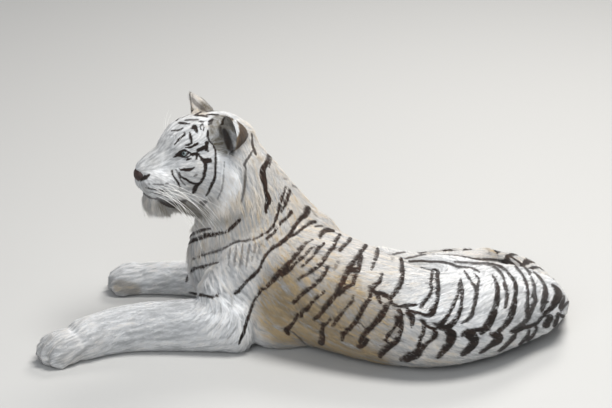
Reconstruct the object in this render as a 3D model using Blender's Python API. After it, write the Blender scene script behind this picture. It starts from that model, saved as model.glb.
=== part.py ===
"""White tiger, life size, lying with its head up, its hips rolled on to the left side and both hind
legs laid to the right. The body is built whole from lofted lengths and rounded masses, fused, trimmed
flat where it lies on the floor, and then parted into named pieces by thin cuts.

Metres, +Z up. The tiger faces -X, its left side is towards -Y, and the floor is at Z = 0.
"""

import math

import bmesh
import bpy
from mathutils import Matrix, Vector

# Driving dimensions
CUT = 0.0004  # width of the cuts between pieces
GAP = 0.0003  # clearance round the eyes and the nose leather
FUSE_VOXEL = 0.0055
SMOOTH_STEPS = 12
SOFT_STEPS = 34  # further smoothing away from the head and the paws
BODY_TRIANGLES = 2730
HEAD_TRIANGLES = 8000  # for a whole body this fine, of which only the head is kept
RING_SIDES = 28
LOFT_STEPS = 5  # rings between two stations of a loft
CAP_RINGS = 3
EYE_RADIUS = 0.0185
EYE_PLACE = (0.0845, 0.0555, 0.0175)  # forward, left and up in the head's frame
NOSE_PLACE = (0.230, 0.0, -0.056)
NOSE_RADII = (0.025, 0.029, 0.025)
NOSE_DIP = -15
EAR_HALF_HEIGHT = 0.074
EAR_HALF_THICKNESS = 0.0085

# The head's own frame: forward along the muzzle, left, up.
HEAD_CENTRE = Vector((-0.355, 0.0, 0.656))
HEAD_YAW = math.radians(24)  # the face turns this far to the left

# Stations: centre x, y, z, half height, half width, roll in degrees (the top leans towards -Y).
TRUNK = (
    (-0.330, 0.045, 0.245, 0.130, 0.105, 0),
    (-0.270, 0.030, 0.240, 0.200, 0.150, 2),
    (-0.170, 0.000, 0.235, 0.225, 0.185, 5),
    (-0.040, -0.080, 0.220, 0.222, 0.195, 16),
    (0.080, -0.160, 0.205, 0.210, 0.195, 38),
    (0.200, -0.240, 0.185, 0.196, 0.186, 55),
    (0.320, -0.305, 0.172, 0.182, 0.172, 63),
    (0.440, -0.325, 0.165, 0.178, 0.160, 74),
    (0.560, -0.252, 0.158, 0.176, 0.155, 84),
    (0.680, -0.150, 0.146, 0.148, 0.142, 88),
    (0.785, -0.072, 0.122, 0.122, 0.112, 88),
    (0.840, -0.025, 0.100, 0.070, 0.070, 88),
)
NECK = (
    (-0.120, -0.015, 0.260, 0.235, 0.170, 0),
    (-0.185, 0.000, 0.385, 0.215, 0.160, 0),
    (-0.235, 0.010, 0.505, 0.172, 0.142, 0),
    (-0.280, 0.020, 0.600, 0.140, 0.128, 0),
    (-0.310, 0.025, 0.650, 0.115, 0.110, 0),
)
LEFT_FORELEG = (
    (-0.235, -0.190, 0.094, 0.100, 0.084, 0),
    (-0.360, -0.185, 0.090, 0.096, 0.078, 0),
    (-0.497, -0.182, 0.086, 0.091, 0.073, 0),
    (-0.600, -0.190, 0.081, 0.086, 0.069, 0),
    (-0.690, -0.222, 0.075, 0.081, 0.067, 0),
    (-0.760, -0.264, 0.068, 0.076, 0.070, 0),
)
RIGHT_FORELEG = (
    (-0.100, 0.185, 0.085, 0.090, 0.082, 0),
    (-0.220, 0.250, 0.076, 0.082, 0.072, 0),
    (-0.350, 0.310, 0.065, 0.072, 0.062, 0),
    (-0.460, 0.342, 0.058, 0.065, 0.057, 0),
    (-0.560, 0.352, 0.054, 0.060, 0.062, 0),
)
LEFT_SHOULDER = (
    (-0.045, -0.120, 0.385, 0.085, 0.050, 0),
    (-0.150, -0.150, 0.310, 0.105, 0.058, 0),
    (-0.260, -0.150, 0.225, 0.100, 0.070, 0),
    (-0.300, -0.160, 0.165, 0.090, 0.075, 0),
    (-0.260, -0.185, 0.105, 0.080, 0.080, 0),
)
RIGHT_SHOULDER = (
    (0.010, 0.020, 0.385, 0.085, 0.050, 0),
    (-0.080, 0.110, 0.310, 0.105, 0.058, 0),
    (-0.190, 0.170, 0.225, 0.100, 0.070, 0),
    (-0.200, 0.185, 0.165, 0.090, 0.075, 0),
    (-0.120, 0.185, 0.105, 0.080, 0.080, 0),
)
RIGHT_HIND_LEG = (
    (0.600, -0.130, 0.158, 0.135, 0.130, 0),
    (0.480, -0.020, 0.160, 0.115, 0.120, 0),
    (0.360, 0.080, 0.146, 0.102, 0.106, 0),
    (0.232, 0.170, 0.148, 0.094, 0.090, 0),
    (0.340, 0.262, 0.112, 0.068, 0.066, 0),
    (0.465, 0.346, 0.094, 0.058, 0.056, 0),
    (0.575, 0.420, 0.082, 0.053, 0.050, 0),
    (0.640, 0.460, 0.076, 0.056, 0.046, 0),
    (0.592, 0.486, 0.056, 0.048, 0.044, 0),
    (0.520, 0.490, 0.048, 0.046, 0.046, 0),
    (0.470, 0.490, 0.046, 0.044, 0.050, 0),
)
LEFT_HIND_LEG = (
    (0.640, -0.090, 0.110, 0.110, 0.110, 0),
    (0.500, 0.030, 0.085, 0.088, 0.095, 0),
    (0.370, 0.130, 0.080, 0.082, 0.085, 0),
    (0.265, 0.205, 0.078, 0.080, 0.070, 0),
    (0.305, 0.278, 0.066, 0.062, 0.056, 0),
    (0.352, 0.338, 0.056, 0.055, 0.049, 0),
    (0.308, 0.372, 0.049, 0.048, 0.045, 0),
    (0.245, 0.380, 0.046, 0.045, 0.046, 0),
    (0.195, 0.380, 0.045, 0.043, 0.050, 0),
)
TAIL = (
    (0.785, -0.050, 0.100, 0.070, 0.070, 0),
    (0.845, 0.045, 0.076, 0.060, 0.056, 0),
    (0.852, 0.150, 0.052, 0.053, 0.049, 0),
    (0.838, 0.260, 0.044, 0.049, 0.046, 0),
    (0.808, 0.368, 0.041, 0.046, 0.044, 0),
    (0.774, 0.472, 0.039, 0.043, 0.042, 0),
    (0.706, 0.562, 0.037, 0.041, 0.040, 0),
    (0.600, 0.604, 0.034, 0.038, 0.037, 0),
    (0.500, 0.614, 0.031, 0.035, 0.034, 0),
    (0.405, 0.604, 0.028, 0.031, 0.030, 0),
    (0.330, 0.572, 0.024, 0.027, 0.026, 0),
)
# The head's lofts, in its own frame: forward, left, up, half height, half width, roll.
SKULL = (
    (0.222, 0.0, -0.042, 0.036, 0.033, 0),
    (0.195, 0.0, -0.028, 0.040, 0.036, 0),
    (0.162, 0.0, -0.014, 0.046, 0.041, 0),
    (0.135, 0.0, -0.003, 0.057, 0.047, 0),
    (0.105, 0.0, 0.017, 0.071, 0.061, 0),
    (0.072, 0.0, 0.033, 0.087, 0.077, 0),
    (0.035, 0.0, 0.032, 0.099, 0.094, 0),
    (-0.020, 0.0, 0.026, 0.107, 0.103, 0),
    (-0.072, 0.0, 0.015, 0.107, 0.110, 0),
    (-0.115, 0.0, 0.000, 0.095, 0.100, 0),
)
FACE = (
    (0.208, 0.0, -0.078, 0.046, 0.046, 0),
    (0.180, 0.0, -0.083, 0.056, 0.064, 0),
    (0.145, 0.0, -0.083, 0.064, 0.070, 0),
    (0.110, 0.0, -0.074, 0.074, 0.084, 0),
    (0.075, 0.0, -0.062, 0.086, 0.104, 0),
    (0.030, 0.0, -0.055, 0.106, 0.124, 0),
    (-0.030, 0.0, -0.050, 0.126, 0.134, 0),
    (-0.090, 0.0, -0.040, 0.128, 0.130, 0),
)
JAW = (
    (0.195, 0.0, -0.150, 0.044, 0.038, 0),
    (0.170, 0.0, -0.152, 0.055, 0.048, 0),
    (0.130, 0.0, -0.148, 0.056, 0.060, 0),
    (0.080, 0.0, -0.142, 0.076, 0.074, 0),
    (0.030, 0.0, -0.142, 0.094, 0.088, 0),
    (-0.040, 0.0, -0.130, 0.104, 0.098, 0),
)

# Round blades that part the body: the middle of the blade, its normal, its radius.
HEAD_CUT = ((-0.320, 0.010, 0.612), (-0.888, 0.00, 0.46), 0.230)
LIMB_CUTS = (
    ((0.845, 0.040, 0.080), (0.20, 1.00, -0.15), 0.085),  # tail
    ((-0.425, -0.184, 0.085), (-1.00, 0.00, 0.08), 0.125),  # left foreleg
    ((-0.300, 0.290, 0.070), (-0.90, 0.42, 0.00), 0.115),  # right foreleg
    ((0.384, 0.088, 0.125), (-0.60, 0.80, 0.00), 0.160),  # both hind legs
)
# The same for cuts within one piece, with the names on either side: towards the normal, and away.
INNER_CUTS = (
    ("trunk", "neck", "trunk", (-0.220, 0.000, 0.380), (-0.54, 0.00, 0.84)),
    ("trunk", "chest", "back", (0.130, -0.100, 0.150), (-0.93, 0.36, 0.00)),
    ("back", "loin", "rump", (0.410, -0.250, 0.150), (-0.85, -0.53, 0.00)),
    ("left_foreleg", "left_forepaw", "left_foreleg", (-0.735, -0.250, 0.06), (-0.88, -0.47, 0.0)),
    ("right_foreleg", "right_forepaw", "right_foreleg", (-0.530, 0.352, 0.06), (-1.0, 0.0, 0.0)),
    ("tail", "tail_end", "tail", (0.690, 0.540, 0.036), (-0.66, 0.75, 0.0)),
)
# Where the middle of each first piece is, to name it.
MIDDLES = (
    ("head", (-0.420, -0.010, 0.640)),
    ("trunk", (0.150, -0.150, 0.200)),
    ("tail", (0.750, 0.400, 0.040)),
    ("left_foreleg", (-0.600, -0.220, 0.080)),
    ("right_foreleg", (-0.480, 0.340, 0.060)),
    ("right_hind_leg", (0.400, 0.300, 0.100)),
)
# The blade between the lips and the blade that closes it behind the chin, in the head's frame.
LIP_CUT = ((0.165, 0.0, -0.131), (0.18, 0.0, -1.0), 0.112)
CHIN_CUT = ((0.100, 0.0, -0.200), (-1.0, 0.0, -0.25), 0.100)

LEFT_HIND_PAW = (Vector((0.155, 0.382, 0.044)), -4)
LEG_SPREAD = 0.012

# Colour and roughness: the white coat, and the pieces that differ from it.
FUR = ((0.80, 0.78, 0.73), 0.9)
COLOURS = {
    "left_ear": ((0.62, 0.58, 0.53), 0.9),
    "right_ear": ((0.62, 0.58, 0.53), 0.9),
    "left_eye": ((0.42, 0.58, 0.66), 0.1),
    "right_eye": ((0.42, 0.58, 0.66), 0.1),
    "nose": ((0.30, 0.16, 0.16), 0.5),
}

# Places kept crisp: the head and the paws, with the reach of each.
DETAILED = (
    (Vector((-0.400, -0.010, 0.650)), 0.17),
    (Vector((-0.840, -0.305, 0.050)), 0.09),
    (Vector((-0.640, 0.352, 0.050)), 0.09),
    (Vector((0.400, 0.480, 0.045)), 0.08),
    (Vector((0.130, 0.382, 0.045)), 0.08),
)


def head_axes():
    """Forward, left and up of the head as a matrix's columns."""
    forward = Vector((-math.cos(HEAD_YAW), -math.sin(HEAD_YAW), 0.0))
    left = Vector((math.sin(HEAD_YAW), -math.cos(HEAD_YAW), 0.0))
    return Matrix((forward, left, Vector((0, 0, 1)))).transposed()


def on_head(forward, left, up):
    """A point given in the head's frame, in world coordinates."""
    return HEAD_CENTRE + head_axes() @ Vector((forward, left, up))


def catmull_rom(stations, share, index):
    """Every number of a station, on a smooth curve through the stations."""
    last = len(stations) - 1
    a, b, c, d = (stations[min(max(index + k, 0), last)] for k in (-1, 0, 1, 2))
    return [
        0.5
        * (
            2 * q
            + (r - p) * share
            + (2 * p - 5 * q + 4 * r - s) * share**2
            + (3 * q - p - 3 * r + s) * share**3
        )
        for p, q, r, s in zip(a, b, c, d)
    ]


def smooth_stations(stations):
    dense = []
    for index in range(len(stations) - 1):
        for step in range(LOFT_STEPS):
            dense.append(catmull_rom(stations, step / LOFT_STEPS, index))
    dense.append(list(stations[-1]))
    return dense


def ring(bm, centre, tangent, half_height, half_width, roll):
    """An ellipse of vertices across the path, its height in the vertical plane of the path."""
    side = tangent.cross(Vector((0, 0, 1)))
    side.normalize()
    top = side.cross(tangent).normalized()
    turn = Matrix.Rotation(math.radians(roll), 3, tangent)
    side, top = turn @ side, turn @ top
    angles = [2 * math.pi * k / RING_SIDES for k in range(RING_SIDES)]
    return [
        bm.verts.new(
            centre + side * (math.cos(a) * half_width) + top * (math.sin(a) * half_height)
        )
        for a in angles
    ]


def loft(stations):
    """A closed tube with round ends through the stations."""
    bm = bmesh.new()
    dense = smooth_stations(stations)
    centres = [Vector(s[:3]) for s in dense]
    last = len(centres) - 1
    tangents = [
        (centres[min(i + 1, last)] - centres[max(i - 1, 0)]).normalized() for i in range(last + 1)
    ]
    rings = [(centres[i], tangents[i], *dense[i][3:]) for i in range(last + 1)]
    for end, outward in ((0, -tangents[0]), (last, tangents[last])):
        reach = min(dense[end][3], dense[end][4]) * 0.8
        caps = []
        for step in range(1, CAP_RINGS + 1):
            angle = math.pi / 2 * step / (CAP_RINGS + 1)
            shrink = math.cos(angle)
            place = centres[end] + outward * (reach * math.sin(angle))
            caps.append(
                (place, tangents[end], dense[end][3] * shrink, dense[end][4] * shrink, dense[end][5])
            )
        rings = caps[::-1] + rings if end == 0 else rings + caps
    loops = [ring(bm, *r) for r in rings]
    for first, second in zip(loops, loops[1:]):
        for k in range(RING_SIDES):
            after = (k + 1) % RING_SIDES
            bm.faces.new((first[k], first[after], second[after], second[k]))
    bm.faces.new(loops[0][::-1])
    bm.faces.new(loops[-1])
    bmesh.ops.recalc_face_normals(bm, faces=bm.faces)
    return to_object("loft", bm)


def mass(centre, radii, turn=None, fineness=4):
    """A rounded mass: a ball stretched to three radii, along the axes of a turn."""
    bm = bmesh.new()
    bmesh.ops.create_icosphere(bm, subdivisions=fineness, radius=1.0)
    shape = Matrix.Diagonal((*radii, 1.0))
    turned = turn.to_4x4() if turn is not None else Matrix.Identity(4)
    place = Matrix.Translation(centre) @ turned @ shape
    bmesh.ops.transform(bm, matrix=place, verts=bm.verts)
    return to_object("mass", bm)


def head_mass(forward, left, up, radii, dip=0.0, swing=0.0, fineness=4):
    """A mass placed in the head's frame, tipped nose down by dip and turned to the left by swing."""
    turn = (
        head_axes()
        @ Matrix.Rotation(math.radians(swing), 3, "Z")
        @ Matrix.Rotation(math.radians(dip), 3, "Y")
    )
    return mass(on_head(forward, left, up), radii, turn, fineness)


def to_object(name, bm):
    mesh = bpy.data.meshes.new(name)
    bm.to_mesh(mesh)
    bm.free()
    made = bpy.data.objects.new(name, mesh)
    bpy.context.scene.collection.objects.link(made)
    return made


def head_masses():
    """Skull, face and jaw, with the whisker pads, brows, cheek ruff and ear roots on them."""
    made = [loft([(*on_head(*s[:3]), *s[3:]) for s in part]) for part in (SKULL, FACE, JAW)]
    for side in (1, -1):
        made += [
            head_mass(0.182, side * 0.036, -0.086, (0.060, 0.040, 0.048), dip=6),  # pad
            head_mass(0.094, side * 0.043, 0.046, (0.048, 0.031, 0.024), dip=14),  # brow
            head_mass(-0.030, side * 0.092, -0.075, (0.080, 0.056, 0.120), dip=12),  # ruff
            head_mass(-0.045, side * 0.078, 0.042, (0.040, 0.034, 0.042)),  # ear root
        ]
    return made


def ear_turn(side, swing, lean, splay):
    """The ear's frame: X out of its hollow, Y across, Z towards its tip."""
    return (
        head_axes()
        @ Matrix.Rotation(math.radians(side * swing), 3, "Z")
        @ Matrix.Rotation(math.radians(-side * splay), 3, "X")
        @ Matrix.Rotation(math.radians(lean), 3, "Y")
    )


def ear(name, side, place, swing, lean, splay, half_width, cup):
    """A round cupped plate with a rolled rim, cut square at its root."""
    bm = bmesh.new()
    bmesh.ops.create_uvsphere(bm, u_segments=18, v_segments=11, radius=1.0)
    bmesh.ops.rotate(bm, matrix=Matrix.Rotation(math.pi / 2, 3, "Y"), verts=bm.verts)
    for vert in bm.verts:
        out = vert.co.y**2 + vert.co.z**2
        narrow = 1.0 - 0.10 * max(-vert.co.z, 0.0)
        vert.co = Vector(
            (
                EAR_HALF_THICKNESS * vert.co.x + cup * (out - 1.0) * (1.0 - 0.42 * vert.co.z),
                half_width * vert.co.y * narrow,
                EAR_HALF_HEIGHT * vert.co.z,
            )
        )
    turn = ear_turn(side, swing, lean, splay)
    made = Matrix.Translation(on_head(*place)) @ turn.to_4x4()
    bmesh.ops.transform(bm, matrix=made, verts=bm.verts)
    return to_object(name, bm)


def paw(centre, heading, size=1.0):
    """A broad foot with four toes, pointing along heading degrees (0 is -X, turning to the left)."""
    turn = Matrix.Rotation(math.radians(heading), 3, "Z")
    made = [mass(centre, (0.082 * size, 0.072 * size, 0.062 * size), turn)]
    for reach, across in ((0.036, -0.056), (0.056, -0.020), (0.056, 0.020), (0.036, 0.056)):
        offset = turn @ Vector((-reach * size, across * size, -0.010 * size))
        made.append(mass(centre + offset, (0.044 * size, 0.0215 * size, 0.046 * size), turn))
    return made


def only(one):
    bpy.ops.object.select_all(action="DESELECT")
    one.select_set(True)
    bpy.context.view_layer.objects.active = one


def applied(one):
    """The object with its modifiers' shape as its own mesh."""
    graph = bpy.context.evaluated_depsgraph_get()
    mesh = bpy.data.meshes.new_from_object(one.evaluated_get(graph))
    one.modifiers.clear()
    one.data = mesh
    return one


def fuse(objects, name):
    """One closed skin round all the objects, smoothed where they meet."""
    only(objects[0])
    for each in objects:
        each.select_set(True)
    bpy.ops.object.join()
    body = bpy.context.view_layer.objects.active
    body.name = name
    remesh = body.modifiers.new("fuse", "REMESH")
    remesh.mode = "VOXEL"
    remesh.voxel_size = FUSE_VOXEL
    applied(body)
    smooth = body.modifiers.new("smooth", "SMOOTH")
    smooth.factor = 0.5
    smooth.iterations = SMOOTH_STEPS
    group = body.vertex_groups.new(name="soft")
    for vert in body.data.vertices:
        clear = min((vert.co - centre).length - reach for centre, reach in DETAILED)
        group.add([vert.index], min(max(clear / 0.10, 0.0), 1.0), "REPLACE")
    soft = body.modifiers.new("soft", "SMOOTH")
    soft.factor = 0.5
    soft.iterations = SOFT_STEPS
    soft.vertex_group = group.name
    return applied(body)


def thin_out(body, triangles):
    """The same shape in fewer triangles."""
    body.data.calc_loop_triangles()
    now = len(body.data.loop_triangles)
    decimate = body.modifiers.new("thin out", "DECIMATE")
    decimate.ratio = triangles / now
    decimate.use_collapse_triangulate = True
    return applied(body)


def box(name, centre, half, normal=(0, 0, 1), offset=0.0):
    """A block: half sizes across, across and along the normal, its middle offset along the normal."""
    bm = bmesh.new()
    bmesh.ops.create_cube(bm, size=2.0)
    normal = Vector(normal).normalized()
    turn = Vector((0, 0, 1)).rotation_difference(normal).to_matrix().to_4x4()
    place = Matrix.Translation(Vector(centre) + normal * offset) @ turn
    bmesh.ops.transform(bm, matrix=place @ Matrix.Diagonal((*half, 1.0)), verts=bm.verts)
    return to_object(name, bm)


def blade(middle, normal, radius):
    """A thin round plate."""
    bm = bmesh.new()
    bmesh.ops.create_cone(
        bm, cap_ends=True, segments=40, radius1=radius, radius2=radius, depth=CUT
    )
    turn = Vector((0, 0, 1)).rotation_difference(Vector(normal).normalized())
    place = Matrix.Translation(middle) @ turn.to_matrix().to_4x4()
    bmesh.ops.transform(bm, matrix=place, verts=bm.verts)
    return to_object("blade", bm)


def cut_away(body, cutter, keep=False):
    """Take the cutter's shape out of the body, or keep only what is inside it."""
    boolean = body.modifiers.new("cut", "BOOLEAN")
    boolean.operation = "INTERSECT" if keep else "DIFFERENCE"
    boolean.solver = "EXACT"
    boolean.object = cutter
    applied(body)
    bpy.data.objects.remove(cutter)
    return body


def copy_of(one, name):
    made = one.copy()
    made.data = one.data.copy()
    made.name = name
    bpy.context.scene.collection.objects.link(made)
    return made


def parted(one, towards, away, point, normal):
    """The two sides of a plane as two objects, a cut's width apart."""
    far = copy_of(one, towards)
    cut_away(far, box("side", point, (2, 2, 2), normal, 2 + CUT / 2), keep=True)
    cut_away(one, box("side", point, (2, 2, 2), normal, -2 - CUT / 2), keep=True)
    one.name = away
    return far, one


def loose_parts(body):
    """The separate pieces of a cut body, as objects."""
    only(body)
    bpy.ops.object.mode_set(mode="EDIT")
    bpy.ops.mesh.select_all(action="SELECT")
    bpy.ops.mesh.separate(type="LOOSE")
    bpy.ops.object.mode_set(mode="OBJECT")
    return list(bpy.context.selected_objects)


def grown(one, name, by):
    """A copy swollen along its normals."""
    made = copy_of(one, name)
    swell = made.modifiers.new("swell", "DISPLACE")
    swell.strength = by
    swell.mid_level = 0
    return applied(made)


def part_hind_legs(named):
    """Take the left hind leg out of the pair: what lies within its own length, a little swollen."""
    both = named["right_hind_leg"]
    swollen = [(*s[:3], s[3] + LEG_SPREAD, s[4] + LEG_SPREAD, s[5]) for s in LEFT_HIND_LEG[1:]]
    around = fuse([loft(swollen), *paw(*LEFT_HIND_PAW, 0.85 * 1.22)], "around")
    around.modifiers.clear()
    thin_out(around, 1500)
    left = cut_away(copy_of(both, "left_hind_leg"), copy_of(around, "inside"), keep=True)
    cut_away(both, grown(around, "outside", CUT))
    bpy.data.objects.remove(around)
    for one in (left, both):
        pieces = sorted(loose_parts(one), key=lambda p: len(p.data.vertices))
        for scrap in pieces[:-1]:
            bpy.data.objects.remove(scrap)
        named["left_hind_leg" if one is left else "right_hind_leg"] = pieces[-1]


def middle(one):
    """The middle of an object's box."""
    low = Vector(min(v.co[k] for v in one.data.vertices) for k in range(3))
    high = Vector(max(v.co[k] for v in one.data.vertices) for k in range(3))
    return (low + high) / 2


def ball(name, centre, radius, segments=20):
    bm = bmesh.new()
    bmesh.ops.create_uvsphere(bm, u_segments=segments, v_segments=segments // 2, radius=radius)
    bmesh.ops.translate(bm, vec=centre, verts=bm.verts)
    return to_object(name, bm)


def centre_on_origin(objects):
    """Move everything so that the middle of its box is over the origin, with the floor at Z = 0."""
    corners = [vert.co for one in objects for vert in one.data.vertices]
    middle_x = (min(c.x for c in corners) + max(c.x for c in corners)) / 2
    middle_y = (min(c.y for c in corners) + max(c.y for c in corners)) / 2
    move = Matrix.Translation((-middle_x, -middle_y, 0))
    for one in objects:
        one.data.transform(move)


def paint(one, colour, roughness):
    material = bpy.data.materials.new(one.name)
    material.use_nodes = True
    shader = material.node_tree.nodes["Principled BSDF"]
    shader.inputs["Base Color"].default_value = (*colour, 1.0)
    shader.inputs["Roughness"].default_value = roughness
    shader.inputs["Metallic"].default_value = 0.0
    one.data.materials.clear()
    one.data.materials.append(material)


def main():
    for old in list(bpy.data.objects):
        bpy.data.objects.remove(old)
    lengths = (
        TRUNK,
        NECK,
        LEFT_FORELEG,
        RIGHT_FORELEG,
        LEFT_SHOULDER,
        RIGHT_SHOULDER,
        RIGHT_HIND_LEG,
        LEFT_HIND_LEG,
        TAIL,
    )
    pieces = [loft(stations) for stations in lengths]
    pieces.append(mass((-0.27, 0.03, 0.26), (0.15, 0.14, 0.20)))  # brisket
    pieces.append(mass((-0.03, -0.055, 0.34), (0.15, 0.10, 0.13)))  # withers
    pieces.append(mass((-0.09, -0.135, 0.085), (0.15, 0.105, 0.095)))  # fold behind the elbow
    pieces.append(mass((0.61, -0.14, 0.155), (0.20, 0.17, 0.135)))  # haunch
    pieces += head_masses()
    pieces += paw(Vector((-0.820, -0.296, 0.054)), 22)
    pieces += paw(Vector((-0.615, 0.356, 0.050)), -6, 0.95)
    pieces += paw(Vector((0.438, 0.490, 0.044)), -4, 0.85)
    pieces += paw(*LEFT_HIND_PAW, 0.85)
    body = fuse(pieces, "trunk")
    fine = thin_out(copy_of(body, "head"), HEAD_TRIANGLES)
    thin_out(body, BODY_TRIANGLES)
    cut_away(body, box("floor", (0, 0, 0), (3, 3, 1), (0, 0, 1), -1))
    ears = (
        ear("left_ear", 1, (-0.032, 0.128, 0.086), 7, 2, 20, 0.060, 0.072),
        ear("right_ear", -1, (-0.006, -0.100, 0.102), 32, 14, 12, 0.058, 0.060),
    )
    for one in ears:
        for scalp in (fine, body):
            cut_away(one, grown(scalp, "scalp", 4 * GAP))
    named = {}
    cut_away(fine, blade(*HEAD_CUT))
    for piece in loose_parts(fine):
        if middle(piece).z > 0.5:
            named["head"] = piece
        else:
            bpy.data.objects.remove(piece)
    for cut in (HEAD_CUT, *LIMB_CUTS):
        cut_away(body, blade(*cut))
    for piece in loose_parts(body):
        place = middle(piece)
        name = min(MIDDLES, key=lambda m: (Vector(m[1]) - place).length)[0]
        if name == "head":
            bpy.data.objects.remove(piece)
            continue
        piece.name = name
        named[name] = piece
    part_hind_legs(named)
    for source, towards, away, point, normal in INNER_CUTS:
        far, near = parted(named.pop(source), towards, away, point, normal)
        named[towards] = far
        named[away] = near
    head = named["head"]
    for side, name in ((1, "left_eye"), (-1, "right_eye")):
        forward, left, up = EYE_PLACE
        centre = on_head(forward, side * left, up)
        cut_away(head, head_mass(0.118, side * 0.082, 0.0215, (0.034, 0.020, 0.0165), 0, -side * 32))
        cut_away(head, ball("socket", centre, EYE_RADIUS + GAP))
        ball(name, centre, EYE_RADIUS)
    radii = NOSE_RADII
    cut_away(head, head_mass(*NOSE_PLACE, [r + GAP for r in radii], NOSE_DIP, fineness=3))
    head_mass(*NOSE_PLACE, radii, NOSE_DIP, fineness=3).name = "nose"
    for point, normal, radius in (LIP_CUT, CHIN_CUT):
        cut_away(head, blade(on_head(*point), head_axes() @ Vector(normal), radius))
    for piece in loose_parts(head):
        low = middle(piece).z < 0.56
        piece.name = "lower_jaw" if low else "head"
    centre_on_origin(list(bpy.data.objects))
    for one in bpy.data.objects:
        only(one)
        bpy.ops.object.shade_smooth()
        colour, roughness = COLOURS.get(one.name, FUR)
        paint(one, colour, roughness)


main()
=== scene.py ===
import math

import bmesh
import bpy
import numpy as np
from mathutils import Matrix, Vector
from mathutils.bvhtree import BVHTree


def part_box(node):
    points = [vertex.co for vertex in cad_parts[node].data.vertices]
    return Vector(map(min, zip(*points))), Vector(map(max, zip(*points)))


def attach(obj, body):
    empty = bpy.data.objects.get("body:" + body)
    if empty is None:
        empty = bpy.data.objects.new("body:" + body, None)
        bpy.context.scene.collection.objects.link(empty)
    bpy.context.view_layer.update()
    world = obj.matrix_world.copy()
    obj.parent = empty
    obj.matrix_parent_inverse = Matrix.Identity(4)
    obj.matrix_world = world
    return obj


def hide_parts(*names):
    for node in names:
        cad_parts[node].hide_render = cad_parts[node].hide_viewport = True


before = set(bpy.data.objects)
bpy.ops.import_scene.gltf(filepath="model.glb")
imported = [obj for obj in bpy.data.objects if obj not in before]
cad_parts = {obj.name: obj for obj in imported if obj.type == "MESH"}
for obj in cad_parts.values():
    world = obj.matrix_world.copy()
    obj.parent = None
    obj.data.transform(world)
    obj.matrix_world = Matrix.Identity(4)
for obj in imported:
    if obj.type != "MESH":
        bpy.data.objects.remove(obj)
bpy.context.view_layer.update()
rng = np.random.default_rng(7)

# Lengths are metres unless a note says millimetres. The tiger faces -X and its left side looks towards -Y.
mm = 0.001


def unit(v):
    v = np.asarray(v, float)
    return v / np.maximum(np.linalg.norm(v, axis=-1, keepdims=True), 1e-12)


def smoothStep(x, low, high):
    # 0 below low, 1 above high, and 3t^2 - 2t^3 between
    t = np.clip((x - low) / (high - low), 0, 1)
    return t * t * (3 - 2 * t)


def wobble(p, size, seed):
    # a smooth wandering value, about -1 to 1: 1.6 times the mean of six sine waves in different directions
    r = np.random.default_rng(seed)
    ways = unit(r.normal(size=(6, 3))) * (2 * math.pi / size) * r.uniform(0.6, 1.4, (6, 1))
    return np.sin(p @ ways.T + r.uniform(0, 6.28, 6)).mean(axis=1) * 1.6


def meshArrays(obj):
    obj.data.calc_loop_triangles()
    points = np.empty(len(obj.data.vertices) * 3, np.float32)
    obj.data.vertices.foreach_get("co", points)
    tris = np.empty(len(obj.data.loop_triangles) * 3, np.int32)
    obj.data.loop_triangles.foreach_get("vertices", tris)
    return points.reshape(-1, 3).astype(float), tris.reshape(-1, 3)


def vertexNormals(points, tris):
    # the sum of the cross products of the triangles round each vertex
    across = np.cross(points[tris[:, 1]] - points[tris[:, 0]], points[tris[:, 2]] - points[tris[:, 0]])
    total = np.zeros_like(points)
    for corner in range(3):
        for axis in range(3):
            total[:, axis] += np.bincount(tris[:, corner], across[:, axis], len(points))
    return unit(total)


def neighbourMean(values, edges):
    # the mean of each vertex's neighbours along the edges
    ends = np.concatenate([edges, edges[:, ::-1]])
    number = np.maximum(np.bincount(ends[:, 0], minlength=len(values)), 1)
    sums = [np.bincount(ends[:, 0], column[ends[:, 1]], len(values)) for column in values.T]
    return np.stack(sums, axis=1) / number[:, None]


def relaxed(values, edges, steps, amount):
    # each step moves a value part of the way to its neighbours' mean
    for _ in range(steps):
        values = values + (neighbourMean(values, edges) - values) * amount
    return values


def triEdges(tris):
    pairs = np.sort(np.concatenate([tris[:, :2], tris[:, 1:], tris[:, ::2]]), axis=1)
    return np.unique(pairs, axis=0)


def newPiece(name, points, faces):
    mesh = bpy.data.meshes.new(name)
    faces = np.asarray(faces, np.int32)
    sides = faces.shape[1]
    mesh.vertices.add(len(points))
    mesh.vertices.foreach_set("co", np.asarray(points, np.float32).ravel())
    mesh.loops.add(faces.size)
    mesh.loops.foreach_set("vertex_index", faces.ravel())
    mesh.polygons.add(len(faces))
    mesh.polygons.foreach_set("loop_start", np.arange(0, faces.size, sides, dtype=np.int32))
    mesh.polygons.foreach_set("loop_total", np.full(len(faces), sides, np.int32))
    mesh.update(calc_edges=True)
    mesh.validate()
    mesh.shade_smooth()
    piece = bpy.data.objects.new(name, mesh)
    bpy.context.scene.collection.objects.link(piece)
    return piece


def setAttribute(piece, name, values):
    kept = piece.data.attributes.new(name, "FLOAT", "POINT")
    kept.data.foreach_set("value", np.asarray(values, np.float32).ravel())


def throughPoints(points, spacing):
    # a Catmull-Rom curve through the rows, about one row each spacing along its first three columns
    points = np.asarray(points, float)
    if len(points) < 2:
        return points
    ends = np.vstack([2 * points[0] - points[1], points, 2 * points[-1] - points[-2]])
    rows = []
    for i in range(len(points) - 1):
        a, b, c, d = ends[i : i + 4]
        number = max(1, int(np.linalg.norm((c - b)[:-1]) / spacing))
        t = np.linspace(0, 1, number, endpoint=False)[:, None]
        rows.append(0.5 * (2 * b + (c - a) * t + (2 * a - 5 * b + 4 * c - d) * t**2
                           + (3 * b - a - 3 * c + d) * t**3))
    return np.vstack([*rows, points[-1:]])


def middle(node):
    low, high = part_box(node)
    return np.array((low + high) / 2)


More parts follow.
